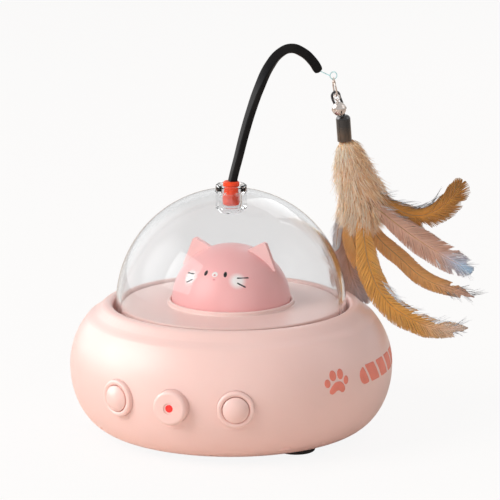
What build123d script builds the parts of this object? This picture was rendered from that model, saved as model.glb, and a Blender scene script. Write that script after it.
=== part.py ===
"""Electronic cat toy: a saucer casing with a laser, a clear dome that turns, and a feather wand.

Millimetres, +Z up. The origin is on the toy's vertical axis, on the plane that its feet stand on.
The front, with the laser and the cat's face, looks along -Y.
"""
import os
from math import acos, asin, cos, degrees, hypot, pi, radians, sin, sqrt, tan

from build123d import *

os.makedirs("parts", exist_ok=True)

# Casing
casing_radius = 80.0
casing_bottom = 3.0
widest_height = 34.5
flank_width = 21.6
shoulder_radius = 36.7
shoulder_top = 58.2
casing_wall = 2.4
seam_height = 5.2
shoulder_span = 21.4
collar_bore = casing_radius - shoulder_span
collar_edge = 2.0
collar_crest = collar_bore + collar_edge
collar_top = 65.4
collar_wall = 2.2
valley = (collar_crest + 6.8, shoulder_top + 2.7)

# Dome and its socket
dome_gap = 1.6
dome_radius = collar_bore - dome_gap
dome_wall = 2.2
dome_centre = 65.0
socket_radius = 7.65
socket_rise = 2.5
socket_top = dome_centre + dome_radius + socket_rise
socket_depth = 12.0
socket_floor = 2.2
socket_mouth = 6.3
socket_bore = 4.45

# Turntable and drive
gear_module = 1.0
ring_teeth = 84
pinion_teeth = 14
gear_face = 5.6
gear_backlash = 0.16
pressure_angle = radians(20)
turntable_base = 50.3
turntable_web = 2.0
turntable_lip = collar_bore + 2.0
running_gap = 0.3
journal_step = 2.9
journal_radius = dome_radius - dome_wall - journal_step
journal_clearance = 0.06
hub_wall = 2.2

# Chassis
chassis_top = 46.4
chassis_thickness = 2.4
chassis_inset = 11.0
chassis_radius = casing_radius - chassis_inset
chassis_post_circle = chassis_radius - 4.0

# Deck and cat head
deck_gap = 0.5
deck_radius = dome_radius - dome_wall - deck_gap
deck_top = 65.0
deck_thickness = 2.0
deck_post_circle = 22.0
head_radius = 29.4
head_height = 28.4
head_wall = 1.8
head_gap = 0.3
head_ring_width = 1.6
head_ring_height = 2.2
ear_thickness = 3.0
ear_front = -3.4

# Front controls
control_height = 32.0
button_azimuth = 22.0
seat_depth = 1.8
control_seat = casing_radius - seat_depth
boss_radius = 8.4
boss_front = control_seat + 6.3
bezel_radius = 9.0
bezel_front = control_seat + 3.7
button_radius = 6.25
button_front = control_seat + 6.4
button_clearance = 0.15
button_flange = 1.3
button_travel = 1.0
lens_radius = 1.9
module_radius = 3.0
module_length = 25.0

# Feet and fasteners
foot_radius = 9.5
foot_inset = 30.5
foot_circle = casing_radius - foot_inset
foot_height = 4.0
screw_radius = 1.3
screw_head = 2.6
screw_head_height = 1.6
post_radius = 3.5
cover_screw_inset = 26.0
cover_screw_circle = casing_radius - cover_screw_inset
cover_boss_top = 9.0
cover_post_top = 21.0
fit = 0.1

# Wand and lure, in a vertical plane through the axis, with heights from the socket's top
wand_heading = 40.0
wand_width = 4.6
wand_thickness = 3.6
wand_corner = 0.8
wand_twist = 100.0
plug_radius = 4.2
plug_neck = 3.7
plug_bottom = socket_top - socket_depth + 1.3
plug_top = socket_top + 1.5
wand_foot = plug_bottom + 2.7


def heading(azimuth):
    """Level direction at an azimuth from the front, positive towards +X."""
    return Vector(sin(radians(azimuth)), -cos(radians(azimuth)), 0)


def facing(azimuth, reach, height):
    """Plane square to a level direction from the axis, with its own Y up."""
    out = heading(azimuth)
    return Plane(origin=out * reach + Vector(0, 0, height), x_dir=Vector(0, 0, 1).cross(out), z_dir=out)


def lure_way(rho, side, rise):
    """Direction in the wand's frame: outwards, sideways (away from the front) and up."""
    a = radians(wand_heading)
    return Vector(rho * cos(a) - side * sin(a), rho * sin(a) + side * cos(a), rise)


def lure_point(rho, side, height):
    """Point in the wand's frame, with its height from the socket's top."""
    return lure_way(rho, side, socket_top + height)


def on_circle(radius, azimuths):
    """Level points on a circle, at azimuths from the front."""
    return [tuple(heading(a) * radius)[:2] for a in azimuths]


def save(piece, name):
    """Label a finished piece and write it."""
    piece.part.label = name
    export_step(piece.part, f"parts/{name}.step")


# Casing profile
flank_centre = casing_radius - flank_width
flank_drop = widest_height - casing_bottom
shoulder_centre = casing_radius - shoulder_radius


def flank_reach(height, inset=0.0):
    """Radius of the lower flank at a height, or of its inner wall."""
    down = (widest_height - height) / (flank_drop - inset)
    return flank_centre + (flank_width - inset) * sqrt(max(0.0, 1 - down * down))


def shoulder_reach(height, inset=0.0):
    """Radius of the upper shoulder at a height, or of its inner wall."""
    return shoulder_centre + sqrt((shoulder_radius - inset) ** 2 - (height - widest_height) ** 2)


seam_radius = flank_reach(seam_height)
lip_radius = seam_radius - 2.8
lip_height = widest_height - (flank_drop - casing_wall) * sqrt(
    1 - ((lip_radius - flank_centre) / (flank_width - casing_wall)) ** 2)
shoulder_edge = shoulder_reach(shoulder_top)
well_bottom = turntable_base + turntable_web + running_gap
inner_roof = shoulder_top - casing_wall
inner_edge = shoulder_reach(inner_roof, casing_wall)

control_azimuths = (-button_azimuth, button_azimuth)
notch_azimuths = (-42.0, 42.0)
chassis_posts = (60, 180, 300)
cover_posts = (45, 135, 225, 315)
pad_depth = control_seat - 3.0
port_height = 16.6
port_width = 9.4
port_drop = 3.7

with BuildPart() as top_casing:
    with BuildSketch(Plane.XZ):
        with BuildLine():
            flank_start = degrees(asin((widest_height - seam_height) / flank_drop))
            EllipticalCenterArc((flank_centre, widest_height), flank_width, flank_drop,
                                start_angle=-flank_start, arc_size=flank_start)
            shoulder_turn = degrees(asin((shoulder_top - widest_height) / shoulder_radius))
            CenterArc((shoulder_centre, widest_height), shoulder_radius, 0, shoulder_turn)
            Spline([(shoulder_edge, shoulder_top), valley, (collar_crest, collar_top)],
                   tangents=[(-sin(radians(shoulder_turn)), cos(radians(shoulder_turn))), (-1, 0.05)])
            ThreePointArc((collar_crest, collar_top), (collar_bore + 0.6, collar_top - 0.5),
                          (collar_bore, collar_top - 1.9))
            Polyline((collar_bore, collar_top - 1.9), (collar_bore, well_bottom),
                     (collar_bore + collar_wall, well_bottom),
                     (collar_bore + collar_wall, collar_top - 6.2),
                     (valley[0] - 2.2, valley[1] - casing_wall), (inner_edge, inner_roof))
            inner_turn = degrees(asin((inner_roof - widest_height) / (shoulder_radius - casing_wall)))
            CenterArc((shoulder_centre, widest_height), shoulder_radius - casing_wall, 0, inner_turn)
            inner_start = degrees(asin((widest_height - lip_height) / (flank_drop - casing_wall)))
            EllipticalCenterArc((flank_centre, widest_height), flank_width - casing_wall,
                                flank_drop - casing_wall, start_angle=-inner_start, arc_size=inner_start)
            Polyline((lip_radius, lip_height), (lip_radius, seam_height), (seam_radius, seam_height))
        make_face()
    revolve(axis=Axis.Z)
    # posts for the chassis screws hang from the roof
    with BuildSketch(Plane.XY.offset(chassis_top)):
        with Locations(*on_circle(chassis_post_circle, chassis_posts)):
            Circle(post_radius)
    extrude(amount=valley[1] - casing_wall + 0.6 - chassis_top)
    # posts for the cover screws stand on ribs from the side wall
    with BuildSketch(Plane.XY.offset(cover_boss_top)):
        for azimuth in cover_posts:
            with Locations(*on_circle(cover_screw_circle, [azimuth])):
                Circle(post_radius)
            rib_length = flank_reach(cover_boss_top) - casing_wall - cover_screw_circle
            with Locations(*on_circle(cover_screw_circle + rib_length / 2, [azimuth])):
                Rectangle(rib_length, 2.0, rotation=azimuth - 90)
    extrude(amount=cover_post_top - cover_boss_top)
    for azimuth in cover_posts:
        with BuildSketch(Plane.XY.offset(cover_boss_top + 3)):
            rib_end = flank_reach(cover_boss_top + 3) - casing_wall + 0.8
            with Locations(*on_circle((cover_screw_circle + rib_end) / 2, [azimuth])):
                Rectangle(rib_end - cover_screw_circle, 2.0, rotation=azimuth - 90)
        extrude(amount=cover_post_top - cover_boss_top - 3)
    # pads, seats and holes for the laser boss and the two buttons
    for azimuth in (*control_azimuths, 0):
        with BuildSketch(facing(azimuth, pad_depth, control_height)):
            Circle(bezel_radius + 2.2)
        extrude(amount=control_seat - pad_depth)
        with BuildSketch(facing(azimuth, control_seat, control_height)):
            Circle((bezel_radius if azimuth else boss_radius) + fit)
        extrude(amount=6, mode=Mode.SUBTRACT)
        with BuildSketch(facing(azimuth, pad_depth - 6, control_height)):
            Circle(button_radius + button_clearance if azimuth else boss_radius - 2 + fit)
        extrude(amount=14, mode=Mode.SUBTRACT)
    # holes for screws, pry notches and the charging port
    with BuildSketch(Plane.XY.offset(chassis_top)):
        with Locations(*on_circle(chassis_post_circle, chassis_posts)):
            Circle(screw_radius)
    extrude(amount=8.5, mode=Mode.SUBTRACT)
    with BuildSketch(Plane.XY.offset(cover_boss_top)):
        with Locations(*on_circle(cover_screw_circle, cover_posts)):
            Circle(screw_radius)
    extrude(amount=9, mode=Mode.SUBTRACT)
    for azimuth in notch_azimuths:
        with BuildSketch(facing(azimuth, flank_reach(seam_height + 4) - 1.6, seam_height + 0.8)):
            Circle(4.0)
        extrude(amount=8, mode=Mode.SUBTRACT)
    with BuildSketch(facing(180, flank_reach(port_height) - 8, port_height)):
        RectangleRounded(port_width, port_drop, port_drop / 2 - 0.1)
    extrude(amount=12, mode=Mode.SUBTRACT)
save(top_casing, "top_casing")

# Bottom cover
cover_floor = 2.4
floor_top = casing_bottom + cover_floor
feet = (60, 180, 300)
board_centre = (0.0, 4.0)
board_size = (58.0, 38.0)
board_height = 16.0
board_thickness = 1.6
board_screw_radius = 0.9
standoff_spacing = (board_size[0] - 7, board_size[1] - 7)
switch_room = 14.8
bracket_reach = pad_depth - switch_room
bracket_plate = 2.4
bracket_foot = 8.0
pin_reach = bracket_reach - bracket_foot - 0.9
bracket_pins = ((-13.0, -pin_reach), (13.0, -pin_reach))
bracket_foot_width = 31.0
port_board_reach = casing_radius - 16.5
port_posts = ((-5.5, port_board_reach - 3.5), (5.5, port_board_reach - 3.5))
port_board_height = port_height - 3.25

with BuildPart() as bottom_cover:
    with BuildSketch(Plane.XZ):
        with BuildLine():
            cover_turn = degrees(asin((widest_height - seam_height) / flank_drop))
            EllipticalCenterArc((flank_centre, widest_height), flank_width, flank_drop,
                                start_angle=-90, arc_size=90 - cover_turn)
            Polyline((seam_radius, seam_height), (lip_radius - fit, seam_height),
                     (lip_radius - fit, seam_height + 2.2), (lip_radius - 2, seam_height + 2.2),
                     (lip_radius - 2, floor_top), (0, floor_top), (0, casing_bottom),
                     (flank_centre, casing_bottom))
        make_face()
    revolve(axis=Axis.Z)
    with BuildSketch(Plane.XY.offset(floor_top)):
        with Locations(*on_circle(cover_screw_circle, cover_posts)):
            Circle(screw_head + 1.4)
    extrude(amount=cover_boss_top - floor_top)
    with BuildSketch(Plane.XY.offset(floor_top)):
        with Locations(board_centre):
            with GridLocations(*standoff_spacing, 2, 2):
                Circle(2.6)
    extrude(amount=board_height - floor_top)
    with BuildSketch(Plane.XY.offset(floor_top)):
        with Locations(*port_posts):
            Circle(2.4)
    extrude(amount=port_board_height - floor_top)
    with BuildSketch(Plane.XY.offset(floor_top)):
        with Locations(*bracket_pins):
            Circle(1.2)
    extrude(amount=3.4)
    # recesses for feet and sunk screw heads
    with BuildSketch(Plane.XY.offset(casing_bottom)):
        with Locations(*on_circle(foot_circle, feet)):
            Circle(foot_radius + fit)
    extrude(amount=foot_height - casing_bottom, mode=Mode.SUBTRACT)
    with BuildSketch(Plane.XY.offset(casing_bottom)):
        with Locations(*on_circle(cover_screw_circle, cover_posts)):
            Circle(screw_head + 0.3)
    extrude(amount=cover_boss_top - casing_bottom - 2, mode=Mode.SUBTRACT)
    with BuildSketch(Plane.XY.offset(casing_bottom)):
        with Locations(*on_circle(cover_screw_circle, cover_posts)):
            Circle(screw_radius + 0.2)
    extrude(amount=cover_boss_top, mode=Mode.SUBTRACT)
    with BuildSketch(Plane.XY.offset(board_height)):
        with Locations(board_centre):
            with GridLocations(*standoff_spacing, 2, 2):
                Circle(board_screw_radius)
    extrude(amount=-6, mode=Mode.SUBTRACT)
save(bottom_cover, "bottom_cover")

with BuildPart() as rubber_feet:
    with BuildSketch(Plane.XY):
        with Locations(*on_circle(foot_circle, feet)):
            Circle(foot_radius)
    extrude(amount=foot_height)
    fillet(rubber_feet.edges().group_by(Axis.Z)[0], 1.0)
save(rubber_feet, "rubber_feet")


def screws(points, seat, length):
    """Pan-head screws, head below the seat plane and shank above it."""
    with BuildSketch(Plane.XY.offset(seat)) as shank:
        with Locations(*points):
            Circle(screw_radius)
    extrude(shank.sketch, amount=length)
    with BuildSketch(Plane.XY.offset(seat)) as head:
        with Locations(*points):
            Circle(screw_head)
    extrude(head.sketch, amount=-screw_head_height)


with BuildPart() as cover_screws:
    screws(on_circle(cover_screw_circle, cover_posts), cover_boss_top - 2, 10)
save(cover_screws, "cover_screws")

# Chassis
gear_radius = ring_teeth * gear_module / 2
pinion_radius = pinion_teeth * gear_module / 2
pinion_place = (0.0, gear_radius - pinion_radius)
shaft_radius = 1.5
shaft_clearance = 0.06
gearbox_size = (12.0, 10.0)
gearbox_height = 9.0
chassis_bottom = chassis_top - chassis_thickness
deck_posts = (0, 120, 240)
clamp_screw_spread = 11.0

with BuildPart() as chassis:
    with BuildSketch(Plane.XY.offset(chassis_bottom)):
        Circle(chassis_radius)
        Circle(9, mode=Mode.SUBTRACT)
    extrude(amount=chassis_thickness)
    with BuildSketch(Plane.XY.offset(chassis_top)):
        Circle(journal_radius)
        Circle(journal_radius - hub_wall, mode=Mode.SUBTRACT)
    extrude(amount=turntable_base - running_gap - chassis_top)
    with BuildSketch(Plane.XY.offset(chassis_bottom)):
        with Locations(*on_circle(chassis_post_circle, chassis_posts)):
            Circle(screw_radius + 0.2)
        with Locations(*on_circle(deck_post_circle, deck_posts)):
            Circle(screw_radius + 0.2)
        with Locations(pinion_place):
            Circle(shaft_radius + 1)
            with GridLocations(2 * clamp_screw_spread, 0, 2, 1):
                Circle(screw_radius - 0.2)
    extrude(amount=chassis_thickness, mode=Mode.SUBTRACT)
save(chassis, "chassis")

with BuildPart() as chassis_screws:
    screws(on_circle(chassis_post_circle, chassis_posts), chassis_bottom, chassis_thickness + 7)
save(chassis_screws, "chassis_screws")


# Gears
def involute(angle):
    """Involute function of a pressure angle."""
    return tan(angle) - angle


def half_tooth(teeth, radius, play):
    """Half the angle of a tooth at a radius, less its share of the backlash."""
    pitch = teeth * gear_module / 2
    base = pitch * cos(pressure_angle)
    here = acos(min(1.0, base / radius))
    return pi / (2 * teeth) + involute(pressure_angle) - involute(here) - play / (2 * pitch)


def gear_outline(teeth, root, tip, play):
    """Closed outline of a spur gear with straight-sided roots, as points."""
    pitch = teeth * gear_module / 2
    base = pitch * cos(pressure_angle)
    low = max(root, base)
    radii = [low + (tip - low) * k / 3 for k in range(4)]
    points = []
    for tooth in range(teeth):
        middle = 2 * pi * tooth / teeth
        rise = [(r, middle - half_tooth(teeth, r, play)) for r in radii]
        fall = [(r, middle + half_tooth(teeth, r, play)) for r in reversed(radii)]
        if root < base:
            rise.insert(0, (root, rise[0][1]))
            fall.append((root, fall[-1][1]))
        points += [(r * cos(a), r * sin(a)) for r, a in rise + fall]
    return points


turntable_top = turntable_base + turntable_web
gear_rim = gear_radius + 4.2
spigot_radius = dome_radius - dome_wall - fit
spigot_wall = 2.0
spigot_top = 60.0
lug_azimuths = (0, 90, 180, 270)
lug_width = 8.0
lug_height = 3.0

with BuildPart() as turntable_ring:
    with BuildSketch(Plane.XY.offset(turntable_base)):
        Circle(turntable_lip)
        Circle(gear_rim - 1, mode=Mode.SUBTRACT)
    extrude(amount=turntable_web)
    with BuildSketch(Plane.XY.offset(turntable_base)):
        Circle(gear_rim)
        with BuildLine():
            Polyline(*gear_outline(ring_teeth, gear_radius - 0.8, gear_radius + 1.1, -gear_backlash),
                     close=True)
        make_face(mode=Mode.SUBTRACT)
    extrude(amount=gear_face)
    with BuildSketch(Plane.XY.offset(turntable_base)):
        Circle(journal_radius + journal_clearance + 2.0)
        Circle(journal_radius + journal_clearance, mode=Mode.SUBTRACT)
    extrude(amount=-(turntable_base - chassis_top - running_gap))
    with BuildSketch(Plane.XY.offset(turntable_top)):
        Circle(spigot_radius)
        Circle(spigot_radius - spigot_wall, mode=Mode.SUBTRACT)
    extrude(amount=spigot_top - turntable_top)
    for azimuth in lug_azimuths:
        with BuildSketch(facing(azimuth, spigot_radius - spigot_wall - 1, turntable_top + 5)):
            Rectangle(lug_width + 0.4, 10 + 2 * fit)
        extrude(amount=spigot_wall + 2, mode=Mode.SUBTRACT)
save(turntable_ring, "turntable_ring")

pinion_bottom = turntable_base
pinion_top = turntable_base + gear_face
with BuildPart() as drive_pinion:
    with BuildSketch(Plane.XY.offset(pinion_bottom)):
        with BuildLine():
            Polyline(*gear_outline(pinion_teeth, pinion_radius - 1.15, pinion_radius + 0.85,
                                   gear_backlash), close=True)
        make_face()
        Circle(shaft_radius, mode=Mode.SUBTRACT)
    extrude(amount=gear_face)
    with BuildSketch(Plane.XY.offset(pinion_top)):
        Circle(3.2)
        Circle(shaft_radius, mode=Mode.SUBTRACT)
    extrude(amount=2)
# a gap between two pinion teeth meets the ring's tooth on the line of centres
drive_pinion.part = drive_pinion.part.moved(Location((*pinion_place, 0), (0, 0, 1), 180 / pinion_teeth))
save(drive_pinion, "drive_pinion")

with BuildPart() as motor_shaft:
    with BuildSketch(Plane.XY.offset(chassis_bottom - 4)):
        with Locations(pinion_place):
            Circle(shaft_radius)
    extrude(amount=pinion_top + 2.4 - chassis_bottom + 4)
save(motor_shaft, "motor_shaft")

with BuildPart() as gearbox:
    with BuildSketch(Plane.XY.offset(chassis_bottom)):
        with Locations(pinion_place):
            RectangleRounded(*gearbox_size, 1)
    extrude(amount=-gearbox_height)
    with BuildSketch(Plane.XY.offset(chassis_bottom)):
        with Locations(pinion_place):
            Circle(shaft_radius + shaft_clearance)
    extrude(amount=-4.3, mode=Mode.SUBTRACT)
save(gearbox, "gearbox")

motor_length = 15.0
gearbox_bottom = chassis_bottom - gearbox_height
with BuildPart() as motor:
    with BuildSketch(Plane.XY.offset(gearbox_bottom)):
        with Locations(pinion_place):
            Circle(6)
            with Locations((0, 6.5), (0, -6.5)):
                Rectangle(14, 3, mode=Mode.SUBTRACT)
    extrude(amount=-motor_length)
    with BuildSketch(Plane.XY.offset(gearbox_bottom - motor_length)):
        with Locations(pinion_place):
            Circle(2)
    extrude(amount=-1)
save(motor, "motor")

with BuildPart() as motor_clamp:
    with BuildSketch(Plane.XY.offset(chassis_bottom)):
        with Locations(pinion_place):
            RectangleRounded(2 * clamp_screw_spread + 7, gearbox_size[1] + 4, 2)
            Rectangle(gearbox_size[0] + 2 * fit, gearbox_size[1] + 2 * fit, mode=Mode.SUBTRACT)
            with GridLocations(2 * clamp_screw_spread, 0, 2, 1):
                Circle(screw_radius, mode=Mode.SUBTRACT)
    extrude(amount=-2.4)
    with BuildSketch(Plane.XY.offset(chassis_bottom - 2.4)):
        with Locations(pinion_place):
            Rectangle(gearbox_size[0] + 4, gearbox_size[1] + 4)
            Rectangle(gearbox_size[0] + 2 * fit, gearbox_size[1] + 2 * fit, mode=Mode.SUBTRACT)
    extrude(amount=-(gearbox_height - 2.4))
save(motor_clamp, "motor_clamp")

with BuildPart() as clamp_screws:
    clamp_points = [(pinion_place[0] + s * clamp_screw_spread, pinion_place[1]) for s in (-1, 1)]
    with BuildSketch(Plane.XY.offset(chassis_bottom - 2.4)):
        with Locations(*clamp_points):
            Circle(screw_radius - 0.2)
    extrude(amount=4.2)
    with BuildSketch(Plane.XY.offset(chassis_bottom - 2.4)):
        with Locations(*clamp_points):
            Circle(screw_head - 0.4)
    extrude(amount=-screw_head_height)
save(clamp_screws, "clamp_screws")

# Deck and cat head
deck_bottom = deck_top - deck_thickness
ring_inner = head_radius + head_gap
ring_outer = ring_inner + head_ring_width
head_base = deck_top

with BuildPart() as deck_plate:
    with BuildSketch(Plane.XZ):
        with BuildLine():
            Polyline((0, deck_bottom), (deck_radius, deck_bottom), (deck_radius, deck_top - 0.5),
                     (deck_radius - 0.5, deck_top), (ring_outer + 0.6, deck_top))
            ThreePointArc((ring_outer + 0.6, deck_top), (ring_outer + 0.15, deck_top + 0.3),
                          (ring_outer, deck_top + 0.9))
            Line((ring_outer, deck_top + 0.9), (ring_outer, deck_top + head_ring_height - 0.7))
            ThreePointArc((ring_outer, deck_top + head_ring_height - 0.7),
                          (ring_outer - head_ring_width / 2, deck_top + head_ring_height),
                          (ring_inner, deck_top + head_ring_height - 0.7))
            Polyline((ring_inner, deck_top + head_ring_height - 0.7), (ring_inner, deck_top),
                     (0, deck_top), (0, deck_bottom))
        make_face()
    revolve(axis=Axis.Z)
    with BuildSketch(Plane.XY.offset(deck_bottom)):
        with Locations(*on_circle(deck_post_circle, deck_posts)):
            Circle(post_radius)
    extrude(amount=chassis_top - deck_bottom)
    with BuildSketch(Plane.XY.offset(chassis_top)):
        with Locations(*on_circle(deck_post_circle, deck_posts)):
            Circle(screw_radius)
    extrude(amount=8.5, mode=Mode.SUBTRACT)
save(deck_plate, "deck_plate")

with BuildPart() as deck_screws:
    screws(on_circle(deck_post_circle, deck_posts), chassis_bottom, chassis_thickness + 7)
save(deck_screws, "deck_screws")

head_centre = head_base + 1.0
ear_tip = (18.6, 97.5)
ear_inner = (9.6, 92.6)
ear_outer = (24.2, 83.2)
ear_root = (15.5, 82.0)


def head_form(radius, height):
    """Half an egg on a short upright skirt, turned in two halves."""
    with BuildPart() as form:
        with BuildSketch(Plane.XZ):
            with BuildLine():
                Line((radius, head_base), (radius, head_centre))
                EllipticalCenterArc((0, head_centre), radius, height, start_angle=0, arc_size=90)
                Polyline((0, head_centre + height), (0, head_base), (radius, head_base))
            make_face()
        revolve(axis=Axis.Z, revolution_arc=180)
        mirror(about=Plane.XZ)
    return form.part


head_outside = head_form(head_radius, head_height)
head_inside = head_form(head_radius - head_wall, head_height - head_wall)
with BuildPart() as cat_head:
    add(head_outside)
    with BuildSketch(Plane.XZ.offset(-ear_front)):
        with BuildLine():
            ear = Polyline(ear_inner, ear_tip, ear_outer, ear_root, close=True)
            fillet(ear.vertices().sort_by(Axis.Y)[-1], 1.6)
        make_face()
        mirror(about=Plane.YZ)
    extrude(amount=-ear_thickness)
    add(head_inside, mode=Mode.SUBTRACT)
save(cat_head, "cat_head")

# Dome
dome_bottom = turntable_top
socket_bottom = socket_top - socket_depth - socket_floor
with BuildPart() as dome_cover:
    with BuildSketch(Plane.XZ):
        with BuildLine():
            inner = dome_radius - dome_wall
            Polyline((0, dome_centre + inner), (0, dome_centre + dome_radius))
            CenterArc((0, dome_centre), dome_radius, 0, 90)
            Polyline((dome_radius, dome_centre), (dome_radius, dome_bottom), (inner, dome_bottom),
                     (inner, dome_centre))
            CenterArc((0, dome_centre), inner, 0, 90)
        make_face()
    revolve(axis=Axis.Z)
    with BuildSketch(Plane.XZ):
        with BuildLine():
            Polyline((0, socket_bottom), (socket_radius - 2.2, socket_bottom),
                     (socket_radius, socket_bottom + 2.2), (socket_radius, socket_top - 0.6),
                     (socket_radius - 0.6, socket_top), (0, socket_top), close=True)
        make_face()
    revolve(axis=Axis.Z)
    with BuildSketch(Plane.XZ):
        with BuildLine():
            Polyline((0, socket_bottom + socket_floor), (socket_bore - 0.6, socket_bottom + socket_floor),
                     (socket_bore, socket_bottom + socket_floor + 0.6), (socket_bore + 0.2, socket_top - 5),
                     (socket_mouth, socket_top), (0, socket_top), close=True)
        make_face()
    revolve(axis=Axis.Z, mode=Mode.SUBTRACT)
    for azimuth in lug_azimuths:
        with BuildSketch(facing(azimuth, dome_radius - dome_wall - 1.4, turntable_top + 3.5)):
            Rectangle(lug_width, lug_height)
        extrude(amount=2.4)
save(dome_cover, "dome_cover")

# Laser
with BuildPart() as laser_bezel:
    with BuildSketch(facing(0, control_seat, control_height)):
        Circle(boss_radius)
    extrude(amount=boss_front - control_seat)
    fillet(laser_bezel.edges().sort_by(Axis.Y)[0], 1.8)
    with BuildSketch(facing(0, pad_depth - 1, control_height)):
        Circle(boss_radius - 2)
    extrude(amount=control_seat - pad_depth + 1)
    with BuildSketch(facing(0, pad_depth - 1, control_height)):
        Circle(module_radius + fit)
    extrude(amount=boss_front - pad_depth - 1.4, mode=Mode.SUBTRACT)
    with BuildSketch(facing(0, pad_depth, control_height)):
        Circle(lens_radius)
    extrude(amount=20, mode=Mode.SUBTRACT)
    with BuildSketch(facing(0, boss_front, control_height)):
        Circle(lens_radius + 0.9)
    extrude(amount=-0.5, mode=Mode.SUBTRACT)
save(laser_bezel, "laser_bezel")

with BuildPart() as laser_lens:
    with BuildSketch(facing(0, boss_front - 2.4, control_height)):
        Circle(lens_radius)
    extrude(amount=2.2)
    fillet(laser_lens.edges().sort_by(Axis.Y)[0], 0.5)
save(laser_lens, "laser_lens")

with BuildPart() as laser_module:
    with BuildSketch(facing(0, boss_front - 2.4, control_height)):
        Circle(module_radius)
    extrude(amount=-module_length)
save(laser_module, "laser_module")

# Front bracket with the switches
with BuildPart() as front_bracket:
    for azimuth in (*control_azimuths, 0):
        half = bracket_reach * tan(radians(button_azimuth / 2))
        with BuildSketch(facing(azimuth, bracket_reach - bracket_plate, 0)):
            with Locations((0, (floor_top + control_height + 8) / 2)):
                Rectangle(2 * half, control_height + 8 - floor_top)
        extrude(amount=bracket_plate)
    with BuildSketch(Plane.XY.offset(floor_top)):
        with Locations((0, -bracket_reach + 1 + bracket_foot)):
            Rectangle(bracket_foot_width, 2 * bracket_foot)
    extrude(amount=2.2)
    with BuildSketch(Plane.XY.offset(floor_top)):
        with Locations(*bracket_pins):
            Circle(1.2 + fit)
    extrude(amount=2.2, mode=Mode.SUBTRACT)
    with BuildSketch(facing(0, bracket_reach - 20, control_height)):
        Circle(module_radius + fit)
    extrude(amount=30, mode=Mode.SUBTRACT)
save(front_bracket, "front_bracket")

switch_size = 6.0
switch_depth = 3.5
switch_board_depth = 1.6
with BuildPart() as switch_boards:
    for azimuth in control_azimuths:
        with BuildSketch(facing(azimuth, bracket_reach, control_height)):
            Rectangle(15, 13)
        extrude(amount=switch_board_depth)
save(switch_boards, "switch_boards")

button_back = pad_depth - running_gap - button_flange
with BuildPart() as tact_switches:
    for azimuth in control_azimuths:
        with BuildSketch(facing(azimuth, bracket_reach + switch_board_depth, control_height)):
            Rectangle(switch_size, switch_size)
        extrude(amount=switch_depth)
        with BuildSketch(facing(azimuth, bracket_reach + switch_board_depth, control_height)):
            Circle(1.75)
        extrude(amount=button_back - button_travel - 0.2 - bracket_reach - switch_board_depth)
save(tact_switches, "tact_switches")

with BuildPart() as button_bezels:
    for azimuth in control_azimuths:
        with BuildSketch(facing(azimuth, control_seat, control_height)):
            Circle(bezel_radius)
            Circle(button_radius + button_clearance, mode=Mode.SUBTRACT)
        extrude(amount=bezel_front - control_seat)
    tops = [e for e in button_bezels.edges() if e.geom_type == GeomType.CIRCLE
            and hypot(e.center().X, e.center().Y) > bezel_front - 0.1]
    fillet(tops, 1.2)
save(button_bezels, "button_bezels")

for name, azimuth in (("left_button", -button_azimuth), ("right_button", button_azimuth)):
    with BuildPart() as button:
        crown = 2.6
        crown_radius = (button_radius**2 + crown**2) / (2 * crown)
        rim = button_front - crown
        with BuildSketch(Plane.XZ):
            with BuildLine():
                Polyline((0, rim + crown), (0, button_back), (button_radius + 1.3, button_back),
                         (button_radius + 1.3, button_back + button_flange),
                         (button_radius, button_back + button_flange), (button_radius, rim))
                RadiusArc((button_radius, rim), (0, rim + crown), -crown_radius)
            make_face()
        revolve(axis=Axis.Z)
    turned = facing(azimuth, 0, control_height)
    button.part = button.part.moved(turned.location)
    save(button, name)

# Electronics
with BuildPart() as battery:
    with BuildSketch(Plane.XY.offset(floor_top)):
        with Locations(board_centre):
            RectangleRounded(42, 30, 2)
    extrude(amount=8)
save(battery, "battery")

with BuildPart() as circuit_board:
    with BuildSketch(Plane.XY.offset(board_height)):
        with Locations(board_centre):
            RectangleRounded(*board_size, 2)
            with GridLocations(*standoff_spacing, 2, 2):
                Circle(board_screw_radius + 0.2, mode=Mode.SUBTRACT)
    extrude(amount=board_thickness)
save(circuit_board, "circuit_board")

board_top = board_height + board_thickness
with BuildPart() as board_components:
    with BuildSketch(Plane.XY.offset(board_top)):
        with Locations((-12, 6)):
            Rectangle(10, 7)
        with Locations((14, -4)):
            Rectangle(6, 5)
        with Locations((8, 14)):
            Rectangle(12, 5)
    extrude(amount=2.2)
    with BuildSketch(Plane.XY.offset(board_top)):
        with Locations((-4, -7), (4, -7)):
            Circle(3.2)
    extrude(amount=8)
save(board_components, "board_components")

with BuildPart() as board_screws:
    with BuildSketch(Plane.XY.offset(board_top)):
        with Locations(board_centre):
            with GridLocations(*standoff_spacing, 2, 2):
                Circle(board_screw_radius)
    extrude(amount=-6)
    with BuildSketch(Plane.XY.offset(board_top)):
        with Locations(board_centre):
            with GridLocations(*standoff_spacing, 2, 2):
                Circle(2 * board_screw_radius)
    extrude(amount=1.2)
save(board_screws, "board_screws")

port_outer = flank_reach(port_height) - 2.4
with BuildPart() as charging_board:
    with BuildSketch(Plane.XY.offset(port_board_height)):
        with Locations((0, port_board_reach)):
            Rectangle(17, 13)
    extrude(amount=board_thickness)
save(charging_board, "charging_board")

with BuildPart() as charging_socket:
    with BuildSketch(facing(180, port_outer, port_height)):
        RectangleRounded(9.0, 3.3, 1.5)
    extrude(amount=-8)
    with BuildSketch(facing(180, port_outer, port_height)):
        RectangleRounded(8.3, 2.6, 1.2)
        RectangleRounded(6.6, 0.7, 0.3, mode=Mode.SUBTRACT)
    extrude(amount=-6, mode=Mode.SUBTRACT)
save(charging_socket, "charging_socket")

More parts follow.
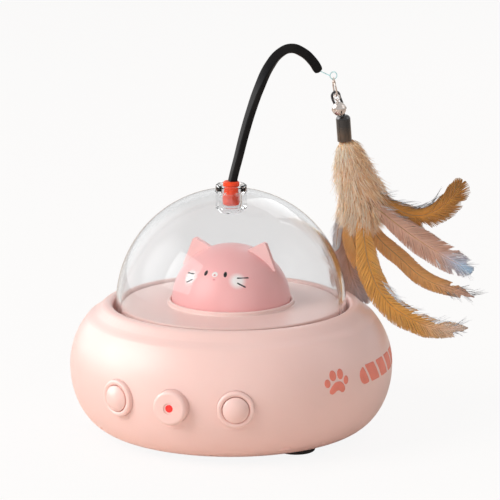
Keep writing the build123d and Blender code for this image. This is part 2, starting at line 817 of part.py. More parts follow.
# Wand
with BuildPart() as wand_rod:
    wand_path = [(0.0, wand_foot - socket_top), (0.9, 2.3), (3.9, 13.6), (6.9, 24.8), (10.4, 36),
                 (14.6, 47.1), (19.9, 57.6), (25.3, 63.5), (30.7, 65.5), (36.7, 63.5), (42.7, 58.1),
                 (45.8, 53.1)]
    route = Spline([lure_point(r, 0, z) for r, z in wand_path],
                   tangents=[(0, 0, 1), lure_way(0.5, 0, -0.87)])
    sideways = lure_way(0, 1, 0)
    stations = (0, 0.1, 0.25, 0.4, 0.5, 0.6, 0.68, 0.76, 0.84, 0.92, 1.0)
    turns = (0, 0, 5, 10, 20, 38, 55, 72, 86, 95, wand_twist)
    for t, turn in zip(stations, turns):
        with BuildSketch(Plane(origin=route @ t, x_dir=sideways, z_dir=route % t)):
            RectangleRounded(wand_width, wand_thickness, wand_corner, rotation=turn)
    loft()
save(wand_rod, "wand_rod")

with BuildPart() as wand_plug:
    with BuildSketch(Plane.XZ):
        with BuildLine():
            Line((0, plug_top), (0, plug_bottom))
            Line((0, plug_bottom), (plug_radius - 1.6, plug_bottom))
            ThreePointArc((plug_radius - 1.6, plug_bottom), (plug_radius - 0.47, plug_bottom + 0.47),
                          (plug_radius, plug_bottom + 1.6))
            Polyline((plug_radius, plug_bottom + 1.6), (plug_radius, plug_bottom + 5.2),
                     (plug_neck, plug_bottom + 6.2), (plug_neck, plug_bottom + 8.0),
                     (plug_radius - 0.2, plug_bottom + 8.8), (plug_radius - 0.2, plug_top - 0.6),
                     (plug_radius - 0.8, plug_top), (0, plug_top))
        make_face()
    revolve(axis=Axis.Z)
    add(wand_rod.part, mode=Mode.SUBTRACT)
save(wand_plug, "wand_plug")

# Line loop, clasp and bell
line_radius = 0.25
loop_centre = (53.4, 50.9)
loop_radius = 1.8
wand_tip = wand_path[-1]
radial = lure_way(1, 0, 0)
up = Vector(0, 0, 1)
clasp_pivot = lure_point(loop_centre[0], 0, loop_centre[1] - loop_radius)


def ring(centre, normal, radius, wire):
    """Round wire ring about a normal that is square to the radial or the sideways direction."""
    across = radial if abs(normal.dot(radial)) < 0.5 else normal.cross(sideways)
    start = Plane(origin=centre + across * radius, x_dir=across, z_dir=normal.cross(across))
    with BuildSketch(start) as wire_section:
        Circle(wire)
    revolve(wire_section.sketch, axis=Axis(centre, normal))


def rod(start, end, radius):
    """Straight round rod between two points."""
    with BuildSketch(Plane(origin=start, z_dir=end - start)) as rod_section:
        Circle(radius)
    extrude(rod_section.sketch, amount=(end - start).length)


with BuildPart() as line_loop:
    ring(lure_point(loop_centre[0], 0, loop_centre[1]), sideways, loop_radius, line_radius)
    rod(lure_point(wand_tip[0] - 0.4, 0, wand_tip[1] + 0.8),
        lure_point(loop_centre[0] - loop_radius, 0, loop_centre[1]), line_radius)
    add(wand_rod.part, mode=Mode.SUBTRACT)
save(line_loop, "line_loop")

clasp_wire = 0.42
clasp_half = 1.8
clasp_lean = 9.5
eye_wire = 0.35
eye_radius = 0.95
clasp_top = 2.2
clasp_bottom = 8.6
gate_top = 3.9
gate_bottom = 6.4
lean = radians(clasp_lean)
clasp_normal = radial * cos(lean) + up * sin(lean)
clasp_plane = Plane(origin=clasp_pivot, x_dir=sideways, z_dir=clasp_normal)


def on_clasp(side, drop):
    """Point on the clasp's plane, sideways and down from its pivot."""
    return clasp_plane.from_local_coords(Vector(side, -drop, 0))


with BuildPart() as snap_clasp:
    ring(on_clasp(0, 0.25), clasp_normal, eye_radius, eye_wire)
    rod(on_clasp(0, 1.05), on_clasp(0, 2.5), 0.85)
    # the wire runs from below the gate round the loop to above it
    with BuildLine(clasp_plane) as clasp_path:
        Line((clasp_half, -gate_bottom - fit), (clasp_half, clasp_half - clasp_bottom))
        ThreePointArc((clasp_half, clasp_half - clasp_bottom), (0, -clasp_bottom),
                      (-clasp_half, clasp_half - clasp_bottom))
        Line((-clasp_half, clasp_half - clasp_bottom), (-clasp_half, -clasp_top - clasp_half))
        ThreePointArc((-clasp_half, -clasp_top - clasp_half), (0, -clasp_top),
                      (clasp_half, -clasp_top - clasp_half))
        Line((clasp_half, -clasp_top - clasp_half), (clasp_half, -gate_top + fit))
    with BuildSketch(Plane(origin=clasp_path.line @ 0, z_dir=clasp_path.line % 0)) as clasp_section:
        Circle(clasp_wire)
    sweep(clasp_section.sketch, path=clasp_path.line)
save(snap_clasp, "snap_clasp")

with BuildPart() as clasp_gate:
    rod(on_clasp(clasp_half, gate_top), on_clasp(clasp_half, gate_bottom), clasp_wire - 0.04)
save(clasp_gate, "clasp_gate")

bell_swing_rest = 32.0
bell_radius = 3.5
bell_wall = 0.45
ring_radius = 1.6
ring_wire = 0.25
lure_pivot = on_clasp(0, clasp_bottom)
tilt = radians(bell_swing_rest)
bell_down = -up * cos(tilt) - sideways * sin(tilt)
bell_across = sideways * cos(tilt) - up * sin(tilt)
ring_side = -0.75
ring_centre = lure_pivot + sideways * ring_side + bell_down * 0.5
bell_eye = ring_centre + bell_down * (ring_radius + 0.3)
bell_centre = bell_eye + bell_down * (0.9 + bell_radius)

with BuildPart() as bell_ring:
    ring(ring_centre, bell_across, ring_radius, ring_wire)
save(bell_ring, "bell_ring")

with BuildPart() as bell:
    with Locations(bell_centre):
        Sphere(bell_radius)
    bell_plane = Plane(origin=bell_centre, x_dir=radial, z_dir=-bell_down)
    with BuildSketch(bell_plane):
        Circle(bell_radius + 0.2)
    extrude(amount=0.2, both=True)
    ring(bell_eye, radial, 0.9, ring_wire)
    with Locations(bell_centre):
        Sphere(bell_radius - bell_wall, mode=Mode.SUBTRACT)
    for turn in (0, 90):
        with BuildSketch(bell_plane):
            SlotOverall(2 * bell_radius - 1.4, 0.7, rotation=turn)
        extrude(amount=-bell_radius - 1, mode=Mode.SUBTRACT)
save(bell, "bell")

pea_radius = 0.9
with BuildPart() as bell_pea:
    with Locations(bell_centre + bell_down * (bell_radius - bell_wall - pea_radius - 0.03)):
        Sphere(pea_radius)
save(bell_pea, "bell_pea")

# Lure
cord_radius = 0.6
cord_side = 0.35
cap_top = lure_point(58.7, cord_side, 30.9)
cap_bottom = lure_point(59.8, cord_side, 17.8)
cap_radius = 3.6

with BuildPart() as elastic_loop:
    pivot_rho = loop_centre[0] + clasp_bottom * sin(lean)
    pivot_height = loop_centre[1] - loop_radius - clasp_bottom * cos(lean)
    bend = clasp_wire + cord_radius + 2 * ring_wire + 0.5
    inner_leg = [(57.9, 29.1), (55.2, 34.9), (pivot_rho - bend, pivot_height)]
    outer_leg = [(pivot_rho + bend, pivot_height), (58.7, 35.5), (59.3, 29.1)]
    with BuildLine() as cord_path:
        Spline([lure_point(r, cord_side, z) for r, z in inner_leg], tangents=[lure_way(-0.5, 0, 1), up])
        ThreePointArc(*[lure_point(pivot_rho + r, cord_side, pivot_height + z)
                        for r, z in ((-bend, 0), (0, bend), (bend, 0))])
        Spline([lure_point(r, cord_side, z) for r, z in outer_leg], tangents=[-up, -up])
    with BuildSketch(Plane(origin=cord_path.line @ 0, z_dir=cord_path.line % 0)) as cord_section:
        Circle(cord_radius)
    sweep(cord_section.sketch, path=cord_path.line)
save(elastic_loop, "elastic_loop")

cap_axis = (cap_top - cap_bottom).normalized()
with BuildPart() as end_cap:
    with BuildSketch(Plane(origin=cap_bottom, x_dir=sideways, z_dir=cap_axis)):
        Circle(cap_radius)
    extrude(amount=(cap_top - cap_bottom).length)
    fillet(end_cap.edges().sort_by(Axis.Z)[-1], 2.2)
    add(elastic_loop.part, mode=Mode.SUBTRACT)
save(end_cap, "end_cap")

# Feathers: route points outwards, sideways and up, then the widest width
feathers = {
    "feather_1": ([(66, -1.5, -6.5), (77.8, -1.8, -12.5), (87, -2.6, -18.3), (97, -3.6, -23.1),
                   (107.2, -5, -23.2), (116, -6.4, -16.3), (120.6, -7, -7.5)], 7.5),
    "feather_2": ([(66, -3.4, -10.5), (75, -4.2, -16.2), (84, -6.4, -23.7), (95, -11, -32.5),
                   (107, -17, -40.7), (118, -22.5, -47)], 9.5),
    "feather_3": ([(66, 2.4, -18.5), (73.1, 2.6, -25), (80.5, 2.4, -34.6), (90, 1.4, -43.5),
                   (103.2, -0.5, -55.2), (118, -3.6, -61.9), (128.5, -6.2, -65.8)], 7.0),
    "feather_4": ([(66, -5.2, -18.5), (69, -6.4, -34), (71.2, -8, -47.9), (78, -11.4, -61.8),
                   (89, -16.9, -71.1), (101, -22, -76), (115.2, -28, -75.8)], 10.0),
    "feather_5": ([(65.5, 6.4, -12.5), (66, 10.4, -27.5), (66.7, 13.4, -41.1), (70, 15.4, -54.5),
                   (76, 15.7, -67.1)], 11.0),
    "feather_6": ([(64, 0.6, -17.5), (64.3, 0.8, -28.8), (67.2, 1.0, -39), (72, 1.2, -48.7)], 7.0),
    "feather_7": ([(62.6, 4.4, -12.5), (61, 6.6, -20.5), (60.2, 9.6, -29.5), (60.1, 11.6, -39.5)], 5.5),
}
feather_thickness = 0.8
blades = {}


def feather_blade(points, widest):
    """Flat curved blade: thin ellipses lofted along a spline, broad in the middle."""
    quill = Spline([lure_point(*p) for p in points], mode=Mode.PRIVATE)
    sections = []
    for step in range(8):
        t = step / 7
        across = (quill % t).cross(sideways).normalized()
        half = widest / 2 * max(0.16, sin(pi * (0.1 + 0.8 * t)))
        with BuildSketch(Plane(origin=quill @ t, x_dir=across, z_dir=quill % t)) as section:
            Ellipse(half, feather_thickness / 2)
        sections.append(section.sketch.face())
    loft(sections)


for name, (points, widest) in feathers.items():
    with BuildPart() as blade:
        feather_blade(points, widest)
    blades[name] = blade.part
    save(blade, name)

# Fluff: centre, half width and half depth at each station
fluff_stations = [((59.85, 0.5, 17.8), 3.3, 3.3), ((60.3, 0.7, 12), 5.0, 4.6),
                  ((61.2, 0.9, 4.5), 7.2, 6.2), ((63.2, 1.6, -4.5), 8.8, 7.4),
                  ((66.3, 2.4, -14), 9.4, 7.6), ((69.0, 2.8, -21.5), 7.4, 6.2),
                  ((71.2, 3.0, -27.5), 3.6, 3.2)]
with BuildPart() as feather_fluff:
    fluff_sections = []
    for place, half_width, half_depth in fluff_stations:
        station = Plane(origin=lure_point(*place), x_dir=cap_axis.cross(sideways), z_dir=-cap_axis)
        with BuildSketch(station) as section:
            Ellipse(half_width, half_depth)
        fluff_sections.append(section.sketch.face())
    loft(fluff_sections)
    for blade_part in blades.values():
        add(blade_part, mode=Mode.SUBTRACT)
    add(end_cap.part, mode=Mode.SUBTRACT)
save(feather_fluff, "feather_fluff")
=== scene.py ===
"""Looks of an electronic cat toy: moulded pink saucer, clear dome, cat head, black wand and feather lure.

Metres, +Z up, with the front of the toy towards -Y. Laid out as an add-on and run as a script.
"""
import math
import random
from typing import NamedTuple

import bpy
import numpy as np
from bpy.props import FloatProperty, FloatVectorProperty, IntProperty, PointerProperty
from bpy.types import NodeSocket, Operator, Panel, PropertyGroup
from mathutils import Matrix, Vector
from mathutils.bvhtree import BVHTree


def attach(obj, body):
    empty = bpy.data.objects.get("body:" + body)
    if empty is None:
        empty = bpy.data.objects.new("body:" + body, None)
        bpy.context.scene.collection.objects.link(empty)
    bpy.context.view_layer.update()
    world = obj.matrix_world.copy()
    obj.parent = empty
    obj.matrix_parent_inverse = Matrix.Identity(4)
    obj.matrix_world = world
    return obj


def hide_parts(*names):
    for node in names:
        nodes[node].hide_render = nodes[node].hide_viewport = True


bl_info = {
    "name": "Cat Toy Finishes",
    "version": (1, 0, 0),
    "blender": (4, 5, 0),
    "location": "View3D > Sidebar > Cat Toy",
    "description": "Finishes, prints, feathers and a stage for a modelled cat toy",
    "category": "Object",
}

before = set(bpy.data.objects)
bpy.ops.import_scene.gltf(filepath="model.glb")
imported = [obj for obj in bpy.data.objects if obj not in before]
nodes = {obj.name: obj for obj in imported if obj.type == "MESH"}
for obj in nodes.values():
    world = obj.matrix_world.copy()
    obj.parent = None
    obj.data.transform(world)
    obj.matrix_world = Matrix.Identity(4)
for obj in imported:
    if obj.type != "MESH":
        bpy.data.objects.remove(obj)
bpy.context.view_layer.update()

MM = 0.001
PATH_POINTS = 90
UP = Vector((0, 0, 1))
WAND_HEADING = math.radians(40.0)
OUTWARD = Vector((math.cos(WAND_HEADING), math.sin(WAND_HEADING), 0))
SIDEWAYS = Vector((-math.sin(WAND_HEADING), math.cos(WAND_HEADING), 0))


def lure_point(out, side, height):
    """Point in the wand's own frame, in millimetres outwards, sideways and up."""
    return (OUTWARD * out + SIDEWAYS * side + UP * height) * MM


def heading(azimuth):
    """Level direction at an azimuth in degrees from the front, positive towards +X."""
    return Vector((math.sin(math.radians(azimuth)), -math.cos(math.radians(azimuth)), 0))


# Finishes
def add_node(tree, kind, inputs=(), operation=None, **named):
    """Node whose inputs, by number or by name, are linked to sockets or set to values."""
    node = tree.nodes.new(kind)
    if operation:
        node.operation = operation
    values = dict(enumerate(inputs))
    values.update((name.replace("_", " "), value) for name, value in named.items())
    for key, value in values.items():
        if isinstance(value, NodeSocket):
            tree.links.new(value, node.inputs[key])
        else:
            node.inputs[key].default_value = value
    return node


class Finish:
    """A node material with one Principled shader that reads the object's own coordinates."""

    def __init__(self, name, colour, roughness=0.5, metallic=0.0, **sockets):
        self.material = bpy.data.materials.new(name)
        self.material.use_nodes = True
        self.tree = self.material.node_tree
        self.shader = self.tree.nodes["Principled BSDF"]
        self.colour = tuple(colour)
        sockets.update(Base_Color=(*colour, 1.0), Roughness=roughness, Metallic=metallic)
        for socket, value in sockets.items():
            self.shader.inputs[socket.replace("_", " ")].default_value = value
        self.place = self.add("ShaderNodeTexCoord").outputs["Object"]

    def add(self, kind, *inputs, **named):
        return add_node(self.tree, kind, inputs, **named)

    def drive(self, socket, value):
        """Lets a node's output set one of the shader's sockets."""
        self.tree.links.new(value, self.shader.inputs[socket])

    def attribute(self, name):
        node = self.add("ShaderNodeAttribute")
        node.attribute_name = name
        return node.outputs["Fac"]

    def noise(self, scale, detail=3.0, vector=None):
        cloud = self.add("ShaderNodeTexNoise", Vector=vector or self.place, Scale=scale, Detail=detail)
        return cloud.outputs["Fac"]

    def stretched(self, scale):
        """Object coordinates scaled by a different amount along each axis."""
        return self.add("ShaderNodeMapping", Vector=self.place, Scale=scale).outputs["Vector"]

    def remap(self, value, low, high, to_low=0.0, to_high=1.0):
        return self.add("ShaderNodeMapRange", Value=value, From_Min=low, From_Max=high, To_Min=to_low,
                        To_Max=to_high).outputs["Result"]

    def mix(self, factor, first, second):
        node = self.add("ShaderNodeMix")
        node.data_type = "RGBA"
        self.tree.links.new(factor, node.inputs["Factor"])
        for index, value in ((6, first), (7, second)):
            if isinstance(value, NodeSocket):
                self.tree.links.new(value, node.inputs[index])
            else:
                node.inputs[index].default_value = (*value, 1.0)
        return node.outputs[2]

    def vary(self, second, scale, low=0.35, high=0.65, vector=None):
        """Base colour that drifts to a second colour in soft clouds."""
        drift = self.mix(self.remap(self.noise(scale, vector=vector), low, high), self.colour, second)
        self.drive("Base Color", drift)
        return drift

    def gloss(self, scale, low, high):
        """Roughness that drifts between two values."""
        self.drive("Roughness", self.remap(self.noise(scale), 0.3, 0.7, low, high))

    def grain(self, scale, depth, strength=0.3, vector=None, height=None):
        """Fine bumps of a real depth."""
        bump = self.add("ShaderNodeBump", Strength=strength, Distance=depth,
                        Height=height or self.noise(scale, 2.0, vector))
        self.drive("Normal", bump.outputs["Normal"])


def textured(name, colour, roughness, drift, grain, metallic=0.0, **sockets):
    """Finish with colour clouds (second colour, scale, limits) and a grain (scale, depth, strength)."""
    finish = Finish(name, colour, roughness, metallic, **sockets)
    finish.vary(*drift)
    finish.grain(*grain)
    return finish


def near(finish, points, inner, outer):
    """1 near any of some points and 0 away from them, with a soft edge."""
    nearest = None
    for point in points:
        away = finish.add("ShaderNodeVectorMath", finish.place, point, operation="DISTANCE").outputs["Value"]
        if nearest is not None:
            away = finish.add("ShaderNodeMath", nearest, away, operation="MINIMUM").outputs[0]
        nearest = away
    return finish.remap(nearest, outer, inner)


def darker(colour, share):
    """A colour scaled down a little."""
    return tuple(c * share for c in colour)


def coat(finish, *names):
    """Gives modelled nodes their finish."""
    for name in names:
        materials = nodes[name].data.materials
        materials.clear()
        materials.append(finish.material)


# Meshes
def mesh_object(name, points, faces):
    """Smooth mesh object at the origin with its place in its points."""
    mesh = bpy.data.meshes.new(name)
    mesh.from_pydata([tuple(p) for p in points], [], faces)
    mesh.update()
    mesh.shade_smooth()
    obj = bpy.data.objects.new(name, mesh)
    bpy.context.scene.collection.objects.link(obj)
    return obj


def keep(obj, finish, body, slot, *replaced):
    """Finishes a piece and lets it ride on its body."""
    obj.data.materials.clear()
    obj.data.materials.append(finish.material)
    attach(obj, body)
    if replaced:
        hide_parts(*replaced)
    return obj


def ring_faces(rings, sides):
    """Faces of a closed skin over rings of points, with an end face on the first and the last ring."""
    faces = []
    for i in range(rings - 1):
        for k in range(sides):
            a, b = i * sides + k, i * sides + (k + 1) % sides
            faces.append((a, b, b + sides, a + sides))
    faces.append(tuple(range(sides - 1, -1, -1)))
    faces.append(tuple((rings - 1) * sides + k for k in range(sides)))
    return faces


def smooth_path(points, count):
    """Points evenly along a smooth curve through some points."""
    spline = bpy.data.curves.new("route", "CURVE")
    spline.dimensions = "3D"
    line = spline.splines.new("BEZIER")
    line.bezier_points.add(len(points) - 1)
    for knot, point in zip(line.bezier_points, points):
        knot.co = point
        knot.handle_left_type = knot.handle_right_type = "AUTO"
    line.resolution_u = 24
    carrier = bpy.data.objects.new("route", spline)
    bpy.context.scene.collection.objects.link(carrier)
    bpy.context.view_layer.update()
    mesh = bpy.data.meshes.new_from_object(carrier)
    dense = np.array([v.co[:] for v in mesh.vertices])
    bpy.data.objects.remove(carrier)
    bpy.data.curves.remove(spline)
    bpy.data.meshes.remove(mesh)
    reach = np.concatenate([[0], np.cumsum(np.linalg.norm(np.diff(dense, axis=0), axis=1))])
    stops = np.linspace(0, reach[-1], count)
    return [Vector([float(np.interp(s, reach, dense[:, k])) for k in range(3)]) for s in stops]


def path_length(path):
    """Length of a path in millimetres."""
    return sum((b - a).length for a, b in zip(path, path[1:])) / MM


def directions(path):
    """Unit direction of a path at each of its points."""
    last = len(path) - 1
    return [(path[min(i + 1, last)] - path[max(i - 1, 0)]).normalized() for i in range(len(path))]


def tube(name, path, radii, sides):
    """Closed round tube along a path, with a UV map of turns and millimetres."""
    along = directions(path)
    across = along[0].orthogonal().normalized()
    points = []
    for centre, way, radius in zip(path, along, radii):
        across = (across - way * across.dot(way)).normalized()
        other = way.cross(across)
        for k in range(sides):
            turn = 2 * math.pi * k / sides
            points.append(centre + (across * math.cos(turn) + other * math.sin(turn)) * radius)
    obj = mesh_object(name, points, ring_faces(len(path), sides))
    reach = [0.0]
    for first, second in zip(path, path[1:]):
        reach.append(reach[-1] + (second - first).length / MM)
    layer = obj.data.uv_layers.new(name="UVMap")
    for polygon in obj.data.polygons[:-2]:
        i, k = divmod(polygon.index, sides)
        corners = ((k, i), (k + 1, i), (k + 1, i + 1), (k, i + 1))
        for loop, (u, v) in zip(polygon.loop_indices, corners):
            layer.data[loop].uv = (u / sides, reach[v])
    return obj


# Prints
class Skin:
    """A modelled surface that flat prints are wrapped on, by azimuth and by height or elevation."""

    # Where rays start, in metres from the axis or from the centre
    OUTSIDE = 0.12
    NEARBY = 0.05

    def __init__(self, node, centre=None):
        mesh = nodes[node].data
        faces = [p.vertices[:] for p in mesh.polygons]
        self.tree = BVHTree.FromPolygons([v.co for v in mesh.vertices], faces)
        self.centre = centre

    def at(self, azimuth, level, lift=0.0):
        """Surface point: level is a height in mm, or degrees of elevation about the centre."""
        out = heading(azimuth)
        if self.centre is None:
            start = out * self.OUTSIDE + UP * (level * MM)
            way = -out
        else:
            rise = math.radians(level)
            way = -(out * math.cos(rise) + UP * math.sin(rise))
            start = self.centre - way * self.NEARBY
        spot, normal, _, _ = self.tree.ray_cast(start, way)
        if normal.dot(way) > 0:
            normal = -normal
        return spot + normal * lift

    def wrap(self, azimuth, level, u, v, lift):
        """Surface point at an offset in mm from a place on the surface."""
        here = self.at(azimuth, level)
        if self.centre is None:
            reach = math.hypot(here.x, here.y) / MM
            return self.at(azimuth + math.degrees(u / reach), level + v, lift)
        reach = (here - self.centre).length / MM
        flat = reach * math.cos(math.radians(level))
        return self.at(azimuth + math.degrees(u / flat), level + math.degrees(v / reach), lift)


def print_patch(skin, azimuth, level, outline, rings, lift=0.05):
    """Points and faces of one filled print shape, star-shaped about its own middle."""
    middle = (sum(p[0] for p in outline) / len(outline), sum(p[1] for p in outline) / len(outline))
    points = [skin.wrap(azimuth, level, *middle, lift * MM)]
    count = len(outline)
    for ring in range(1, rings + 2):
        share = min(ring / rings, 1.0)
        height = lift * MM if ring <= rings else -lift * MM
        for u, v in outline:
            points.append(skin.wrap(azimuth, level, middle[0] + (u - middle[0]) * share,
                                    middle[1] + (v - middle[1]) * share, height))
    faces = [(0, 1 + k, 1 + (k + 1) % count) for k in range(count)]
    for ring in range(rings):
        for k in range(count):
            a, b = 1 + ring * count + k, 1 + ring * count + (k + 1) % count
            faces.append((a, a + count, b + count, b))
    return points, faces


def ellipse(u, v, half_u, half_v, turn=0.0, count=28):
    """Outline of an ellipse about (u, v), turned by some degrees."""
    a = math.radians(turn)
    rim = []
    for k in range(count):
        x = half_u * math.cos(2 * math.pi * k / count)
        y = half_v * math.sin(2 * math.pi * k / count)
        rim.append((u + x * math.cos(a) - y * math.sin(a), v + x * math.sin(a) + y * math.cos(a)))
    return rim


def stroke(u, v, width):
    """Outline of a straight brush stroke with round ends, from (-u, -v) to (u, v)."""
    along = Vector((2 * u, 2 * v)).normalized()
    rim = []
    for end, start in (((u, v), -90), ((-u, -v), 90)):
        for k in range(7):
            a = math.radians(start + 30 * k)
            way = along * math.cos(a) + Vector((-along.y, along.x)) * math.sin(a)
            rim.append((end[0] + way.x * width / 2, end[1] + way.y * width / 2))
    return rim


def rounded(outline, steps=4):
    """Smooth closed outline through some points."""
    count = len(outline)
    rim = []
    for i in range(count):
        p = [Vector(outline[(i + k) % count]) for k in (-1, 0, 1, 2)]
        for step in range(steps):
            t = step / steps
            rim.append(tuple((p[1] * 2 + (p[2] - p[0]) * t + (p[0] * 2 - p[1] * 5 + p[2] * 4 - p[3]) * t * t
                              + (p[1] * 3 - p[0] - p[2] * 3 + p[3]) * t ** 3) / 2))
    return rim


def keep_print(name, patches, ink, slot):
    """One printed piece of several patches, which rides on the base."""
    points, faces = [], []
    for some_points, some_faces in patches:
        first = len(points)
        points += some_points
        faces += [tuple(first + i for i in face) for face in some_faces]
    return keep(mesh_object(name, points, faces), ink, "base", slot)


# Scattered pieces
class Seat(NamedTuple):
    """Place of one scattered unit, with its axes, its size along them and a tone."""

    place: Vector
    along: Vector
    across: Vector
    stretch: tuple
    tone: float


def add_field(mesh, name, values, kind="FLOAT"):
    """Point attribute of single values or of vectors."""
    layer = mesh.attributes.new(name, kind, "POINT")
    layer.data.foreach_set("value" if kind == "FLOAT" else "vector", values)


def instance_tree(name, unit_size):
    """Geometry Nodes tree that sets a unit piece on each point, by its own turn and size."""
    tree = bpy.data.node_groups.new(name, "GeometryNodeTree")
    face = tree.interface
    face.new_socket("Geometry", in_out="INPUT", socket_type="NodeSocketGeometry")
    face.new_socket("Unit", in_out="INPUT", socket_type="NodeSocketObject")
    face.new_socket("Unit size", in_out="INPUT", socket_type="NodeSocketFloat").default_value = unit_size
    face.new_socket("Finish", in_out="INPUT", socket_type="NodeSocketMaterial")
    face.new_socket("Geometry", in_out="OUTPUT", socket_type="NodeSocketGeometry")
    given = tree.nodes.new("NodeGroupInput").outputs
    fields = []
    for field in ("turn", "stretch"):
        reader = add_node(tree, "GeometryNodeInputNamedAttribute", Name=field)
        reader.data_type = "FLOAT_VECTOR"
        fields.append(reader.outputs["Attribute"])
    turn, stretch = fields
    unit = add_node(tree, "GeometryNodeObjectInfo", Object=given["Unit"])
    scale = add_node(tree, "ShaderNodeVectorMath", (stretch,), "SCALE", Scale=given["Unit size"])
    seated = add_node(tree, "GeometryNodeInstanceOnPoints", Points=given["Geometry"],
                      Instance=unit.outputs["Geometry"], Rotation=turn, Scale=scale.outputs["Vector"])
    real = add_node(tree, "GeometryNodeRealizeInstances", Geometry=seated.outputs["Instances"])
    finish = add_node(tree, "GeometryNodeSetMaterial", Geometry=real.outputs["Geometry"],
                      Material=given["Finish"])
    add_node(tree, "NodeGroupOutput", Geometry=finish.outputs["Geometry"])
    return tree


def scatter(name, seats, unit, finish):
    """Plain mesh of a unit piece set on seats, whose sizes are in millimetres."""
    carrier = mesh_object(name, [seat.place for seat in seats], [])
    turns = []
    for seat in seats:
        turns += Matrix((seat.along, seat.across, seat.along.cross(seat.across))).transposed().to_euler()
    add_field(carrier.data, "turn", turns, "FLOAT_VECTOR")
    add_field(carrier.data, "stretch", [size for seat in seats for size in seat.stretch], "FLOAT_VECTOR")
    add_field(carrier.data, "tone", [seat.tone for seat in seats])
    tree = instance_tree(name + "_tree", MM)
    modifier = carrier.modifiers.new("Scatter", "NODES")
    modifier.node_group = tree
    sockets = {item.name: item.identifier for item in tree.interface.items_tree if item.in_out == "INPUT"}
    modifier[sockets["Unit"]] = unit
    modifier[sockets["Finish"]] = finish.material
    bpy.context.view_layer.update()
    evaluated = carrier.evaluated_get(bpy.context.evaluated_depsgraph_get())
    result = bpy.data.meshes.new_from_object(evaluated)
    carrier.modifiers.clear()
    carrier.data = result
    result.shade_smooth()
    return carrier


def unit_strand(name, steps, width, depth, bend, taper):
    """Closed four-sided strand of length 1 along +X, which thins and bends towards its tip."""
    points, reach = [], []
    for i in range(steps + 1):
        t = i / steps
        half = (1 - taper * t ** 1.5) / 2
        drop = bend * t * t
        for y, z in ((-1, 0), (0, -1), (1, 0), (0, 1)):
            points.append((t, y * width * half, z * depth * half - drop))
            reach.append(t)
    obj = mesh_object(name, points, ring_faces(steps + 1, 4))
    add_field(obj.data, "reach", reach)
    return obj


# Settings
class CasingSettings(PropertyGroup):
    """Colours and finish of the moulded saucer."""

    pink: FloatVectorProperty(name="Casing pink", description="Colour of the moulded casing", subtype="COLOR",
                              default=(0.93, 0.645, 0.60), min=0, max=1)
    deck_pink: FloatVectorProperty(name="Deck pink", description="Colour of the deck under the dome",
                                   subtype="COLOR", default=(0.98, 0.70, 0.65), min=0, max=1)
    head_pink: FloatVectorProperty(name="Head pink", description="Colour of the cat head", subtype="COLOR",
                                   default=(0.99, 0.49, 0.49), min=0, max=1)
    print_coral: FloatVectorProperty(name="Print coral", description="Colour of the printed paw and stripes",
                                     subtype="COLOR", default=(0.92, 0.27, 0.20), min=0, max=1)
    roughness: FloatProperty(name="Casing roughness", description="Roughness of the satin casing",
                             default=0.36, min=0, max=1, subtype="FACTOR")


class LureSettings(PropertyGroup):
    """Counts and colours of the feather lure."""

    ochre: FloatVectorProperty(name="Ochre", description="Colour of the golden feathers", subtype="COLOR",
                               default=(0.78, 0.32, 0.055), min=0, max=1)
    mauve: FloatVectorProperty(name="Mauve", description="Colour of the grey-brown feathers", subtype="COLOR",
                               default=(0.74, 0.42, 0.31), min=0, max=1)
    tan: FloatVectorProperty(name="Fluff tan", description="Colour of the soft down", subtype="COLOR",
                             default=(0.98, 0.62, 0.33), min=0, max=1)
    barbs: IntProperty(name="Barbs", description="Barbs on each side of a long feather", default=240, min=20,
                       max=400)
    strands: IntProperty(name="Down strands", description="Strands in the fluff", default=5000, min=100,
                         max=6000)
    seed: IntProperty(name="Seed", description="Seed of the feathers' scatter", default=11, min=0)


class StageSettings(PropertyGroup):
    """Lamps, ambient light and camera."""

    key: FloatProperty(name="Key light", description="Strength of the main lamp", default=17.5, min=0,
                       unit="POWER")
    fill: FloatProperty(name="Fill light", description="Strength of the front lamp", default=3.0, min=0,
                        unit="POWER")
    rim: FloatProperty(name="Rim light", description="Strength of the lamp behind", default=3.2, min=0,
                       unit="POWER")
    sky: FloatProperty(name="Ambient light", description="Even light from all round", default=0.41, min=0)
    azimuth: FloatProperty(name="Camera azimuth", description="Camera place round the toy", unit="ROTATION",
                           default=math.radians(20.5))
    elevation: FloatProperty(name="Camera elevation", description="Camera height over the level",
                             unit="ROTATION", default=math.radians(13.5))
    distance: FloatProperty(name="Camera distance", description="Distance from a point under the dome",
                            unit="LENGTH", default=1.5, min=0.1)


# Casing, base and controls
LENS_PLACE = heading(0) * 0.0845 + UP * 0.032


def moulded(name, colour, shade, roughness):
    """Satin moulded plastic with faint clouds, a share darker, and a fine spark-eroded grain."""
    finish = Finish(name, colour, roughness, Subsurface_Weight=0.08, Subsurface_Scale=0.004,
                    Subsurface_Radius=(1.0, 0.45, 0.35), Coat_Weight=0.5, Coat_Roughness=0.3)
    finish.vary(darker(colour, shade), 28.0)
    finish.gloss(55.0, roughness - 0.04, roughness + 0.05)
    finish.grain(2600.0, 0.00003, 0.12)
    return finish


